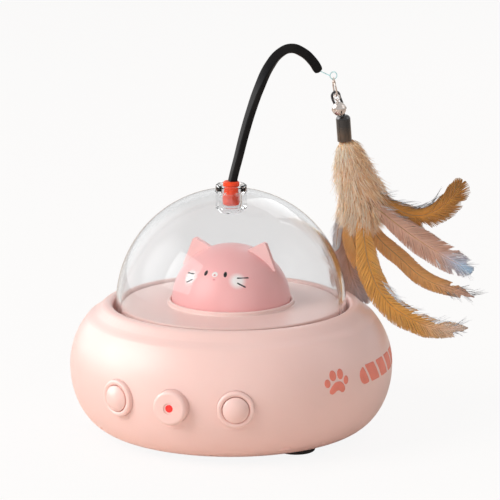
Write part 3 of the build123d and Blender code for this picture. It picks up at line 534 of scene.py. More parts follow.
class CATTOY_OT_casing(Operator):
    """Finish the casing, its base, the bezels, buttons and deck in satin pink"""

    bl_idname = "cat_toy.casing"
    bl_label = "Finish Casing"

    def execute(self, context):
        values = context.scene.cat_toy_casing
        coat(moulded("casing_plastic", values.pink, 0.965, values.roughness),
             "top_casing", "bottom_cover", "turntable_ring")
        coat(moulded("control_plastic", values.pink, 0.97, values.roughness - 0.06),
             "button_bezels", "left_button", "right_button", "laser_bezel")
        coat(moulded("deck_plastic", values.deck_pink, 0.96, 0.42), "deck_plate")
        lens = Finish("laser_glass", (0.9, 0.01, 0.012), 0.12, Coat_Weight=0.6, Emission_Strength=0.55,
                      Emission_Color=(1.0, 0.01, 0.01, 1.0))
        spot = near(lens, [LENS_PLACE], 0.0006, 0.0019)
        lens.drive("Base Color", lens.mix(spot, (0.55, 0.0, 0.004), (1.0, 0.03, 0.02)))
        coat(lens, "laser_lens")
        coat(textured("foot_rubber", (0.018, 0.018, 0.018), 0.75, ((0.03, 0.03, 0.03), 220.0),
                      (1800.0, 0.00006, 0.4)), "rubber_feet")
        return {"FINISHED"}


# Prints on the casing: azimuth in degrees and height in mm, then shapes about that place in mm
PAW_PLACE = (60.0, 40.0)
TOES = ((-5.9, 0.5, 1.75, 2.05, 12), (-2.2, 3.7, 2.05, 2.5, 5), (2.5, 3.8, 1.95, 2.5, -5),
        (5.8, 0.5, 1.55, 2.1, -12))
PAD = ((0.6, 0.6), (-1.4, 0.3), (-2.8, -0.7), (-4.1, -2.0), (-4.9, -3.2), (-4.6, -4.5), (-3.3, -5.1),
       (-1.9, -4.7), (-0.7, -3.9), (0.4, -3.7), (1.5, -4.1), (2.6, -4.9), (3.9, -4.9), (4.8, -3.8),
       (4.7, -2.4), (3.9, -1.0), (2.6, 0.2))
TAIL_FLOOR = 35.8
TAIL_TOP = 44.7
TAIL_STRIPES = (75.4, 83.3, 91.2, 99.1, 107.0)
TAIL_TIP = ((76.7, 36.0), (76.9, 36.9), (75.8, 40.3), (74.5, 43.6), (73.8, 44.0), (72.8, 43.2), (72.0, 42.1),
            (71.6, 40.5), (71.8, 38.6), (72.5, 37.0), (73.6, 36.0), (74.8, 35.7))
STRIPE_DEGREES = 6.3
STRIPE_LEAN = 3.3
STRIPE_END = 1.5
CORNER_CUT = 0.25


def flank_print(skin, outline, rings=4):
    """Print patch of an outline in degrees round the casing and mm of height."""
    azimuth = sum(p[0] for p in outline) / len(outline)
    level = sum(p[1] for p in outline) / len(outline)
    here = skin.at(azimuth, level)
    reach = math.radians(math.hypot(here.x, here.y) / MM)
    return print_patch(skin, azimuth, level, [((a - azimuth) * reach, z - level) for a, z in outline], rings)


def tail_stripe(start, last):
    """Outline of one slanted stripe, in degrees and mm, with a round end on the last."""
    left, right = [], []
    for k in range(11):
        share = k / 10
        shift = STRIPE_LEAN * (1 - share)
        inset = CORNER_CUT if k in (0, 10) else 0.0
        level = TAIL_FLOOR + (TAIL_TOP - TAIL_FLOOR) * share
        bulge = STRIPE_END * math.sqrt(max(0.0, 1 - (2 * share - 1) ** 2)) - STRIPE_END if last else 0.0
        left.append((start + shift + inset, level))
        right.append((start + shift + STRIPE_DEGREES - inset + bulge, level))
    floor = [Vector(left[0]).lerp(right[0], k / 8)[:] for k in range(1, 8)]
    top = [Vector(right[-1]).lerp(left[-1], k / 8)[:] for k in range(1, 8)]
    return floor + right + top + left[::-1]


class CATTOY_OT_prints(Operator):
    """Print a paw and a striped tail on the casing's flank"""

    bl_idname = "cat_toy.prints"
    bl_label = "Print Casing"

    def execute(self, context):
        coral = tuple(context.scene.cat_toy_casing.print_coral)
        ink = textured("print_ink", coral, 0.5, (darker(coral, 0.88), 160.0), (900.0, 0.00001, 0.2))
        skin = Skin("top_casing")
        paw = [print_patch(skin, *PAW_PLACE, ellipse(*toe), 4) for toe in TOES]
        paw.append(print_patch(skin, *PAW_PLACE, rounded(PAD), 5))
        keep_print("paw_print", paw, ink, "casing_pink")
        tail = [flank_print(skin, rounded(TAIL_TIP))]
        for start in TAIL_STRIPES:
            tail.append(flank_print(skin, tail_stripe(start, start == TAIL_STRIPES[-1]), 6))
        keep_print("tail_print", tail, ink, "casing_pink")
        return {"FINISHED"}


# Cat head: places in degrees of azimuth and elevation about its centre, prints in mm, the rest in m
HEAD_CENTRE = Vector((0, 0, 0.066))
CHEEKS = ((-32.5, 31.0), (27.5, 31.8))
CHEEK_RADII = (0.0020, 0.0047)
EAR_FACE = -0.0034
EAR_FACE_WITHIN = 0.00008
EYES = ((-12.0, 38.5), (13.3, 38.5))
WHISKERS = (((-40.7, 34.6), (-29.4, 35.2)), ((-34.6, 25.6), (-28.0, 29.3)),
            ((28.0, 34.6), (40.2, 34.4)), ((27.6, 29.4), (35.2, 25.4)))
WHISKER_WIDTH = 0.72
MUZZLE = (0.2, 38.0)
NOSE = (0.2, 37.2)
MOUTH = (0.6, 32.4)


def head_finish(skin, pink):
    """Pink plastic with white cheeks, and ear fronts paler partly by their own paint and partly as painted
    light.
    """
    head = moulded("head_plastic", pink, 0.95, 0.4)
    clouds = head.shader.inputs["Base Color"].links[0].from_socket
    blush = near(head, [skin.at(*cheek) for cheek in CHEEKS], *CHEEK_RADII)
    cheeks = head.mix(blush, clouds, (1.0, 0.96, 0.95))
    # Partly painted light: the flat ear fronts are made paler, partly as their own paint and partly as light
    # falling on them
    depth = head.add("ShaderNodeSeparateXYZ", Vector=head.place).outputs["Y"]
    front = head.add("ShaderNodeMath", depth, EAR_FACE, EAR_FACE_WITHIN, operation="COMPARE").outputs[0]
    head.drive("Base Color", head.mix(front, cheeks, (0.95, 0.60, 0.59)))
    return head


def whisker(skin, start, end):
    """Print patch of a thin stroke between two places on the head."""
    azimuth, rise = (start[0] + end[0]) / 2, (start[1] + end[1]) / 2
    radius = (skin.at(azimuth, rise) - HEAD_CENTRE).length / MM
    u = math.radians(end[0] - start[0]) / 2 * radius * math.cos(math.radians(rise))
    v = math.radians(end[1] - start[1]) / 2 * radius
    return print_patch(skin, azimuth, rise, stroke(u, v, WHISKER_WIDTH), 6, 0.06)


class CATTOY_OT_cat_face(Operator):
    """Finish the cat head and print its eyes, nose, whiskers and cheeks"""

    bl_idname = "cat_toy.cat_face"
    bl_label = "Finish Cat Head"

    def execute(self, context):
        skin = Skin("cat_head", HEAD_CENTRE)
        coat(head_finish(skin, tuple(context.scene.cat_toy_casing.head_pink)), "cat_head")
        black = Finish("face_black", (0.006, 0.005, 0.006), 0.6, Specular_IOR_Level=0.1)
        black.vary((0.012, 0.010, 0.011), 900.0)
        white = Finish("face_white", (0.96, 0.93, 0.92), 0.45)
        white.vary((0.93, 0.88, 0.87), 700.0)
        rose = Finish("face_rose", (0.86, 0.33, 0.34), 0.45)
        rose.vary((0.80, 0.28, 0.30), 700.0)
        eyes = [print_patch(skin, *eye, ellipse(0, 0, 0.85, 1.5, -4), 4) for eye in EYES]
        keep_print("eyes", eyes, black, "head_pink")
        keep_print("whiskers", [whisker(skin, *ends) for ends in WHISKERS], black, "head_pink")
        muzzle = print_patch(skin, *MUZZLE, ellipse(0, 0, 1.5, 1.4), 4, 0.04)
        keep_print("muzzle", [muzzle], white, "head_pink")
        nose = print_patch(skin, *NOSE, ellipse(0, 0, 0.6, 0.5), 3, 0.07)
        mouth = print_patch(skin, *MOUTH, ellipse(0, 0, 0.75, 0.42), 3, 0.04)
        keep_print("nose", [nose, mouth], rose, "head_pink")
        return {"FINISHED"}


# Dome
class CATTOY_OT_dome(Operator):
    """Make the dome clear and polished"""

    bl_idname = "cat_toy.dome"
    bl_label = "Finish Dome"

    def execute(self, context):
        clear = Finish("clear_plastic", (0.87, 0.874, 0.878), 0.02, Transmission_Weight=1.0, IOR=1.33)
        clear.gloss(30.0, 0.01, 0.03)
        coat(clear, "dome_cover")
        nodes["dome_cover"].visible_shadow = False
        nodes["dome_cover"].visible_diffuse = False
        return {"FINISHED"}


# Wand and hardware: the strip's path outwards and up in mm, and its turn in degrees at shares of its length
WAND_PATH = ((0.0, 121.7), (0.9, 126.8), (3.9, 138.1), (6.9, 149.3), (10.4, 160.5), (14.6, 171.6),
             (19.9, 182.1), (25.3, 188.0), (30.7, 190.0), (36.7, 188.0), (42.7, 182.6), (45.8, 177.6))
WAND_TURNS = ((0, 0.1, 0.25, 0.4, 0.5, 0.6, 0.68, 0.76, 0.84, 0.92, 1.0),
              (0, 0, 5, 10, 20, 38, 55, 72, 86, 95, 100))
WAND_WIDTH = 4.6
WAND_THICKNESS = 3.5
WAND_CORNER = 0.7
CORNER_SIDES = 6
STRIP_POINTS = 150
TIP_LENGTH = 2.2
TIP_WIDTH = 0.42
TIP_THICKNESS = 0.5
LEAST_HALF = 0.12


def strip_section(half_w, half_t):
    """Rounded rectangle about its own middle, in mm."""
    bend = min(WAND_CORNER, half_w * 0.9, half_t * 0.9)
    flat_w, flat_t = half_w - bend, half_t - bend
    rim = []
    for quarter, (sign_u, sign_v) in enumerate(((1, 1), (-1, 1), (-1, -1), (1, -1))):
        for k in range(CORNER_SIDES + 1):
            a = math.pi / 2 * (quarter + k / CORNER_SIDES)
            rim.append((sign_u * flat_w + bend * math.cos(a), sign_v * flat_t + bend * math.sin(a)))
    return rim


def make_strip(name):
    """Flat strip along the wand's path, which twists past its crest and ends in a rounded tip."""
    path = smooth_path([lure_point(out, 0, height) for out, height in WAND_PATH], STRIP_POINTS)
    length = path_length(path)
    points = []
    for i, (centre, way) in enumerate(zip(path, directions(path))):
        share = i / (STRIP_POINTS - 1)
        turn = math.radians(float(np.interp(share, *WAND_TURNS)))
        left = (1 - share) * length
        narrow = math.sqrt(max(0.0, 1 - (1 - min(1.0, left / TIP_LENGTH)) ** 2))
        half_w = max(LEAST_HALF, WAND_WIDTH / 2 * (TIP_WIDTH + (1 - TIP_WIDTH) * narrow))
        half_t = max(LEAST_HALF, WAND_THICKNESS / 2 * (TIP_THICKNESS + (1 - TIP_THICKNESS) * narrow))
        rise = way.cross(SIDEWAYS).normalized()
        across = SIDEWAYS * math.cos(turn) + rise * math.sin(turn)
        deep = rise * math.cos(turn) - SIDEWAYS * math.sin(turn)
        points += [centre + (across * u + deep * v) * MM for u, v in strip_section(half_w, half_t)]
    return mesh_object(name, points, ring_faces(STRIP_POINTS, 4 * (CORNER_SIDES + 1)))


class CATTOY_OT_wand(Operator):
    """Finish the black wand strip, its silicone plug and the nylon loop"""

    bl_idname = "cat_toy.wand"
    bl_label = "Finish Wand"

    def execute(self, context):
        strip = textured("wand_plastic", (0.009, 0.009, 0.010), 0.4, ((0.016, 0.015, 0.015), 90.0),
                         (1500.0, 0.00003, 0.25), Specular_IOR_Level=0.08)
        strip.gloss(70.0, 0.3, 0.42)
        keep(make_strip("wand_strip"), strip, "wand", "black_plastic", "wand_rod")
        coat(textured("plug_silicone", (0.97, 0.07, 0.014), 0.45, ((0.82, 0.065, 0.02), 240.0),
                      (1400.0, 0.00004, 0.25), Subsurface_Weight=0.15, Subsurface_Scale=0.002,
                      Specular_IOR_Level=0.35), "wand_plug")
        line = Finish("nylon_line", (0.55, 0.84, 0.86), 0.12, Transmission_Weight=0.6, IOR=1.5)
        line.gloss(600.0, 0.08, 0.2)
        coat(line, "line_loop")
        return {"FINISHED"}


class CATTOY_OT_hardware(Operator):
    """Finish the snap clasp, its gate, the bell and its ring in bright metal"""

    bl_idname = "cat_toy.hardware"
    bl_label = "Finish Hardware"

    def execute(self, context):
        bright = textured("nickel_plate", (0.68, 0.61, 0.57), 0.13, ((0.70, 0.63, 0.58), 260.0),
                          (2400.0, 0.00002, 0.15), 1.0)
        bright.gloss(500.0, 0.1, 0.26)
        coat(bright, "snap_clasp", "clasp_gate", "bell_ring", "bell")
        return {"FINISHED"}


# Inner works
class CATTOY_OT_works(Operator):
    """Finish the chassis, drive, boards, battery and other inner pieces"""

    bl_idname = "cat_toy.works"
    bl_label = "Finish Inner Works"

    def execute(self, context):
        coat(textured("chassis_plastic", (0.80, 0.80, 0.78), 0.5, ((0.74, 0.74, 0.72), 40.0),
                      (1700.0, 0.00003, 0.2)), "chassis", "motor_clamp", "front_bracket")
        coat(textured("gear_plastic", (0.86, 0.84, 0.76), 0.38, ((0.80, 0.78, 0.69), 60.0),
                      (1200.0, 0.00002, 0.2)), "drive_pinion")
        steel = Finish("brushed_steel", (0.58, 0.58, 0.59), 0.32, 1.0)
        steel.vary((0.48, 0.48, 0.49), 120.0, vector=steel.stretched((1.0, 1.0, 14.0)))
        steel.grain(900.0, 0.00002, 0.3, vector=steel.stretched((1.0, 1.0, 18.0)))
        coat(steel, "motor", "motor_shaft", "charging_socket", "bell_pea")
        coat(textured("turned_brass", (0.72, 0.50, 0.20), 0.26, ((0.62, 0.42, 0.16), 150.0),
                      (1500.0, 0.00002, 0.2), 1.0), "laser_module")
        coat(textured("board_lacquer", (0.02, 0.13, 0.045), 0.3, ((0.03, 0.19, 0.07), 420.0, 0.48, 0.52),
                      (700.0, 0.00002, 0.3), Coat_Weight=0.5),
             "circuit_board", "switch_boards", "charging_board")
        coat(textured("component_black", (0.02, 0.02, 0.022), 0.45, ((0.05, 0.05, 0.055), 380.0),
                      (1500.0, 0.00003, 0.25)), "gearbox", "board_components", "tact_switches")
        coat(textured("battery_foil", (0.42, 0.44, 0.47), 0.3, ((0.34, 0.36, 0.39), 80.0),
                      (260.0, 0.00012, 0.35), 0.6), "battery")
        return {"FINISHED"}


# Screws: head height in mm, and 1 where the shank points up or -1 where it points down
SCREWS = {"cover_screws": (1.6, 1), "chassis_screws": (1.6, 1), "deck_screws": (1.6, 1),
          "clamp_screws": (1.6, 1), "board_screws": (1.2, -1)}
HEAD_PROFILE = ((0.0, 0.42), (0.30, 0.42), (0.36, 0.0), (0.72, 0.0), (0.93, 0.14), (1.0, 0.42), (1.0, 1.0),
                (0.5, 1.0))
SCREW_SIDES = 24
# The cross recess, the thread and the pointed end, as shares of the head's radius and the shank's length
RECESS_LEAST = 0.42
RECESS_REACH = 1.05
THREAD_ROOT = 0.40
THREAD_DEPTH = 0.095
THREAD_ROWS = 60
THREAD_TURNS = 8
POINT_FROM = 0.9
POINT_TAPER = 10
POINT_LEAST = 0.2


def unit_screw():
    """Pan-head screw of head radius 1, head height 1 and shank length 1, with a cross recess and a thread."""
    turns = [2 * math.pi * k / SCREW_SIDES for k in range(SCREW_SIDES)]
    points = []
    for radius, drop in HEAD_PROFILE:
        for turn in turns:
            cross = RECESS_LEAST + RECESS_REACH * abs(math.cos(2 * turn)) ** 3
            recess = cross if 0 < radius < 0.5 else 1.0
            points.append((drop, radius * recess * math.cos(turn), radius * recess * math.sin(turn)))
    for row in range(THREAD_ROWS + 1):
        share = row / THREAD_ROWS
        for k, turn in enumerate(turns):
            phase = (share * THREAD_TURNS - k / SCREW_SIDES) % 1.0
            ridge = (1 - abs(2 * phase - 1)) * min(1.0, (1 - share) * 6)
            point = 1 if share < POINT_FROM else max(POINT_LEAST, (1 - share) * POINT_TAPER)
            radius = (THREAD_ROOT + THREAD_DEPTH * ridge) * point
            points.append((1.0 + share, radius * math.cos(turn), radius * math.sin(turn)))
    rings = len(HEAD_PROFILE) + THREAD_ROWS + 1
    return mesh_object("unit_screw", points, ring_faces(rings, SCREW_SIDES))


def islands(name):
    """Boxes of the separate solids of a modelled node."""
    mesh = nodes[name].data
    places = [v.co.copy() for v in mesh.vertices]
    boxes = []
    for polygon in mesh.polygons:
        low = Vector([min(places[i][k] for i in polygon.vertices) for k in range(3)])
        high = Vector([max(places[i][k] for i in polygon.vertices) for k in range(3)])
        touching = [b for b in boxes if all(low[k] <= b[1][k] + 1e-5 and high[k] >= b[0][k] - 1e-5
                                            for k in range(3))]
        for box in touching:
            low = Vector([min(low[k], box[0][k]) for k in range(3)])
            high = Vector([max(high[k], box[1][k]) for k in range(3)])
            boxes.remove(box)
        boxes.append((low, high))
    return boxes


def screw_seats(name, head, way):
    """Seats of a node's screws, whose tone is the shank's length in head heights."""
    seats = []
    for low, high in islands(name):
        middle = (low + high) / 2
        radius = (high.x - low.x) / 2 / MM
        shank = (high.z - low.z) / MM - head
        start = low.z if way > 0 else high.z
        seats.append(Seat(Vector((middle.x, middle.y, start)), UP * way, Vector((1, 0, 0)),
                          (head, radius, radius), shank / head))
    return seats


def lengthen(piece, seats):
    """Stretches the shanks of scattered screws to their own lengths."""
    for vertex in piece.data.vertices:
        seat = min(seats, key=lambda s: (Vector(vertex.co[:2]) - Vector(s.place[:2])).length)
        way = seat.along.z
        head = seat.stretch[0] * MM
        reach = (vertex.co.z - seat.place.z) * way
        if reach > head:
            vertex.co.z = seat.place.z + way * (head + (reach - head) * seat.tone)


class CATTOY_OT_screws(Operator):
    """Give every screw its cross recess and thread"""

    bl_idname = "cat_toy.screws"
    bl_label = "Cut Screws"

    def execute(self, context):
        steel = textured("screw_steel", (0.45, 0.45, 0.46), 0.3, ((0.36, 0.36, 0.37), 700.0),
                         (1800.0, 0.00002, 0.25), 1.0)
        unit = unit_screw()
        for name, (head, way) in SCREWS.items():
            seats = screw_seats(name, head, way)
            piece = scatter(name + "_cut", seats, unit, steel)
            lengthen(piece, seats)
            keep(piece, steel, "base", "steel", name)
        bpy.data.objects.remove(unit)
        return {"FINISHED"}


# Lure cord: the clasp's pivot outwards and up, and the loop's route round it, in mm
PIVOT = (54.8194, 165.118)
LOOP_BEND = 2.02
LOOP_SIDE = 0.35
LOOP_RADIUS = 0.6
LOOP_START = ((57.9, 153.8), (55.6, 158.6))
LOOP_END = ((58.7, 160.0), (59.3, 153.8))
# The cap is brown below the first height and black above the second, in m
CAP_FADE = (0.1452, 0.1502)


class CATTOY_OT_lure_cord(Operator):
    """Braid the black elastic loop and finish the end cap"""

    bl_idname = "cat_toy.lure_cord"
    bl_label = "Make Lure Cord"

    def execute(self, context):
        out, height = PIVOT
        arc = [(out - LOOP_BEND * math.cos(math.radians(a)), height + LOOP_BEND * math.sin(math.radians(a)))
               for a in range(0, 181, 30)]
        path = smooth_path([lure_point(o, LOOP_SIDE, z) for o, z in (*LOOP_START, *arc, *LOOP_END)],
                           PATH_POINTS)
        elastic = Finish("braided_elastic", (0.014, 0.014, 0.016), 0.6, Sheen_Weight=0.5)
        turns = elastic.add("ShaderNodeTexCoord").outputs["UV"]
        weave = elastic.add("ShaderNodeMapping", Vector=turns, Scale=(4.0, 1.6, 1.0), Rotation=(0, 0, 0.7))
        check = elastic.add("ShaderNodeTexChecker", Vector=weave.outputs["Vector"], Scale=2.0).outputs["Fac"]
        elastic.drive("Base Color", elastic.mix(check, (0.010, 0.011, 0.014), (0.035, 0.036, 0.042)))
        elastic.grain(0.0, 0.00008, 0.6, height=check)
        loop = tube("elastic_cord", path, [LOOP_RADIUS * MM] * len(path), 14)
        keep(loop, elastic, "lure", "black_elastic", "elastic_loop")

        cap = Finish("cap_plastic", (0.02, 0.019, 0.019), 0.12, Coat_Weight=0.5)
        height = cap.add("ShaderNodeSeparateXYZ", Vector=cap.place).outputs["Z"]
        streak = cap.remap(cap.noise(420.0, 4.0, cap.stretched((1.0, 1.0, 0.15))), 0.35, 0.65)
        brown = cap.mix(streak, (0.035, 0.022, 0.013), (0.115, 0.068, 0.036))
        cap.drive("Base Color", cap.mix(cap.remap(height, *CAP_FADE), brown, (0.012, 0.012, 0.013)))
        coat(cap, "end_cap")
        return {"FINISHED"}


# Feathers

# Route outwards, sideways and up, width, outline (start, full at, closing from, roundness),
# splits (side, place, depth) and wisps (side, from, to, count, length, paleness), all lengths in mm
FEATHERS = {
    "feather_1": dict(route=[(66, -1.5, 118), (77.8, -1.8, 112), (87, -2.6, 106.4), (96, -3.6, 102.8),
                             (105, -5, 104.0), (113.5, -6.4, 109.8), (119.2, -7, 117)], width=13.5,
                      outline=(0.35, 0.7, 0.74, 0.6), splits=((-1, 0.55, 0.5), (-1, 0.8, 0.3)),
                      wisps=((1, 0.12, 0.72, 46, 11.0, 0.45),)),
    "feather_2": dict(route=[(66, -3.4, 114), (75, -4.2, 108.3), (84, -6.4, 100.8), (95, -11, 92),
                             (107, -17, 83.8), (118, -22.5, 77.5)], width=13.5,
                      outline=(0.35, 0.5, 0.6, 0.55), splits=((1, 0.72, 0.5), (-1, 0.82, 0.5), (1, 0.9, 0.5)),
                      wisps=((1, 0.1, 0.5, 18, 8.0, 0.5), (-1, 0.72, 0.99, 34, 6.5, 0.85),
                             (1, 0.8, 0.99, 26, 6.0, 0.9))),
    "feather_3": dict(route=[(66, 2.4, 106), (73.1, 2.6, 99.5), (80.5, 2.4, 89.9), (90, 1.4, 81),
                             (103.2, -0.5, 69.3), (118, -3.6, 62.6), (128.5, -6.2, 58.7)], width=9.0,
                      outline=(0.4, 0.3, 0.55, 0.8), splits=((1, 0.8, 0.6), (-1, 0.9, 0.6)),
                      wisps=((-1, 0.8, 0.99, 20, 6.0, 0.6), (1, 0.86, 0.99, 16, 8.0, 0.25))),
    "feather_4": dict(route=[(67.5, -1.6, 112), (68.6, -5.0, 93), (71.2, -8, 76.6), (78, -11.4, 62.7),
                             (89, -16.9, 53.4), (101, -22, 48.5), (115.2, -28, 48.7)], width=12.5,
                      outline=(0.4, 0.3, 0.5, 0.62),
                      splits=((1, 0.5, 0.5), (1, 0.66, 0.7), (1, 0.8, 0.7), (-1, 0.9, 0.5)),
                      wisps=((1, 0.42, 0.96, 90, 8.0, 0.85), (-1, 0.9, 0.99, 14, 5.0, 0.7))),
    "feather_5": dict(route=[(65.5, 6.4, 112), (66, 10.4, 97), (66.7, 13.4, 83.4), (70, 15.4, 70),
                             (76, 15.7, 57.4)], width=14.0, outline=(0.5, 0.3, 0.72, 0.5),
                      splits=((-1, 0.7, 0.4), (1, 0.85, 0.4)), wisps=()),
    "feather_6": dict(route=[(64, 0.6, 107), (64.3, 0.8, 95.7), (67.2, 1.0, 85.5), (72, 1.2, 75.8)],
                      width=11.0, outline=(0.6, 0.3, 0.5, 0.7), splits=((-1, 0.75, 0.5),), wisps=()),
    "feather_7": dict(route=[(62.6, 4.4, 112), (61, 6.6, 104), (60.2, 9.6, 95), (60.1, 11.6, 85)],
                      width=5.0, outline=(0.6, 0.4, 0.6, 0.5), splits=((-1, 0.6, 0.6),),
                      wisps=((-1, 0.3, 0.95, 26, 6.5, 0.95),)),
}
FEATHER_SLOTS = dict.fromkeys(FEATHERS, "feather_ochre")
FEATHER_SLOTS.update(feather_2="feather_mauve", feather_5="feather_mauve", feather_7="feather_white")

# A barb's lean in degrees: at the root, its gain along the vane, its gain in the closing tip, and its most
LEAN_ROOT = 42
LEAN_GAIN = 14
LEAN_TIP = 30
LEAN_MOST = 86
LEAN_WAVE = 2.5
LEAN_SPREAD = 1.2
# Where barbs start, where the tip starts to close and over how much, and a split's reach and lean
BARB_START = 0.02
BARB_RANGE = 0.978
TIP_FROM = 0.84
TIP_SPAN = 0.15
SPLIT_SPAN = 0.022
SPLIT_LEAN = 7
LEAST_SPREAD = 0.52
BARB_OVERLAP = 2.6
BARB_TILT = 0.03
WISP_LEANS = (52, 76)
WISP_ROOT = 0.55
WISP_WIDTH = 0.22
WISP_DEPTH = 1.6
QUILL_ROOT = 0.34
QUILL_TIP = 0.07
WAVES = 24
RIPPLES = 10


def feather_finish(name, root, edge, tip):
    """Barbed vane: root colour along the quill, edge colour at the barbs' ends, tip colour far out."""
    finish = Finish(name, root, 0.45, Sheen_Weight=0.25, Sheen_Roughness=0.4, Subsurface_Weight=0.15,
                    Subsurface_Scale=0.002)
    vane = finish.mix(finish.remap(finish.attribute("reach"), 0.1, 0.95), root, edge)
    place = finish.attribute("tone")
    vane = finish.mix(finish.remap(place, 0.72, 0.95), vane, tip)
    barbs = finish.add("ShaderNodeTexNoise", Scale=260.0, Detail=4.0)
    barbs.noise_dimensions = "1D"
    finish.tree.links.new(place, barbs.inputs["W"])
    dark = finish.add("ShaderNodeHueSaturation", Color=vane, Value=0.84).outputs["Color"]
    vane = finish.mix(finish.remap(barbs.outputs["Fac"], 0.3, 0.6), dark, vane)
    clouds = finish.remap(finish.noise(160.0, 2.0), 0.35, 0.6, 0.0, 0.6)
    deep = finish.add("ShaderNodeHueSaturation", Color=vane, Value=0.88).outputs["Color"]
    finish.drive("Base Color", finish.mix(clouds, vane, deep))
    finish.grain(2600.0, 0.00004, 0.3)
    return finish


def swell(share):
    """Smooth step from 0 to 1."""
    share = min(1.0, max(0.0, share))
    return share * share * (3 - 2 * share)


def vane_half(share, outline):
    """Half width of a vane at a share of its length, as a share of the widest half."""
    start, full_at, closing, roundness = outline
    half = start + (1 - start) * swell(share / full_at)
    if share > closing:
        half *= (1 - ((share - closing) / (1 - closing)) ** 2) ** roundness
    return max(0.05, half)


class Vane:
    """Route, outline and splits of one feather, which seats its barbs and wisps."""

    def __init__(self, sheet, seed):
        self.sheet = sheet
        self.dice = random.Random(seed)
        self.path = smooth_path([lure_point(*p) for p in sheet["route"]], PATH_POINTS)
        self.along = directions(self.path)
        self.waves = [self.dice.uniform(-1, 1) for _ in range(WAVES)]

    def at(self, share, side):
        """Quill point, its direction, the direction to one side, and the half width in mm."""
        place = share * (len(self.path) - 1)
        k = min(int(place), len(self.path) - 2)
        root = self.path[k].lerp(self.path[k + 1], place - k)
        way = self.along[k].lerp(self.along[k + 1], place - k).normalized()
        half = self.sheet["width"] / 2 * vane_half(share, self.sheet["outline"])
        return root, way, way.cross(SIDEWAYS).normalized() * side, half

    def wave(self, share, side):
        """Slow drift between -1 and 1 along one side."""
        ripple = share * RIPPLES + (WAVES // 2 if side > 0 else 0)
        k = int(ripple)
        first, second = self.waves[k % WAVES], self.waves[(k + 1) % WAVES]
        return first + (second - first) * swell(ripple - k)

    def barb_seats(self, barbs):
        """Seats of the barbs that close into the vane, apart at its splits."""
        dice, length, seats = self.dice, path_length(self.path), []
        for side in (-1, 1):
            for i in range(barbs):
                share = BARB_START + BARB_RANGE * i / (barbs - 1)
                root, way, across, half = self.at(share, side)
                wave = self.wave(share, side)
                lean = (LEAN_ROOT + LEAN_GAIN * share + LEAN_TIP * swell((share - TIP_FROM) / TIP_SPAN)
                        + LEAN_WAVE * wave + dice.uniform(-LEAN_SPREAD, LEAN_SPREAD))
                fullness = 1 + 0.03 * wave + dice.uniform(-0.03, 0.02)
                for split_side, place, depth in self.sheet["splits"]:
                    off = (share - place) / SPLIT_SPAN
                    if split_side == side and abs(off) < 1:
                        fullness *= 1 - depth * (1 - abs(off)) ** 0.5
                        lean -= SPLIT_LEAN * math.copysign(1 - abs(off), off)
                lean = math.radians(min(lean, LEAN_MOST))
                barb = (across * math.cos(lean) + way * math.sin(lean)).normalized()
                reach = half / max(LEAST_SPREAD, math.cos(lean)) * fullness
                normal = barb.cross(way * side).normalized()
                barb = (barb + normal * dice.uniform(-BARB_TILT, BARB_TILT)).normalized()
                seats.append(Seat(root, barb, normal.cross(barb).normalized(),
                                  (reach, length * BARB_OVERLAP / barbs, 1.0), share))
        return seats

    def wisp_seats(self):
        """Seats of the loose wisps along the vane's sides."""
        dice, seats = self.dice, []
        for side, start, end, count, reach, pale in self.sheet["wisps"]:
            for _ in range(count):
                root, way, across, half = self.at(dice.uniform(start, end), side)
                lean = math.radians(dice.uniform(*WISP_LEANS))
                wisp = (across * math.cos(lean) + way * math.sin(lean)
                        + SIDEWAYS * dice.uniform(-0.1, 0.1)).normalized()
                normal = wisp.cross(way * side).normalized()
                size = (reach * dice.uniform(0.6, 1.1), WISP_WIDTH, WISP_DEPTH)
                tone = min(1.0, max(0.0, dice.gauss(pale, 0.25)))
                seats.append(Seat(root + across * (half * MM) * WISP_ROOT, wisp,
                                  normal.cross(wisp).normalized(), size, tone))
        return seats


def make_feather(name, finish, quill_finish, wisp_finish, strand, barbs, seed):
    """One feather: a tapered quill, barbs on both sides that close into a vane, and loose wisps."""
    vane = Vane(FEATHERS[name], seed)
    slot = FEATHER_SLOTS[name]
    keep(scatter(name + "_vane", vane.barb_seats(barbs), strand, finish), finish, "lure", slot, name)
    wisps = vane.wisp_seats()
    if wisps:
        keep(scatter(name + "_wisps", wisps, strand, wisp_finish), wisp_finish, "lure", slot)
    last = len(vane.path) - 1
    radii = [(QUILL_ROOT - (QUILL_ROOT - QUILL_TIP) * i / last) * MM for i in range(last + 1)]
    keep(tube(name + "_quill", vane.path, radii, 8), quill_finish, "lure", slot)


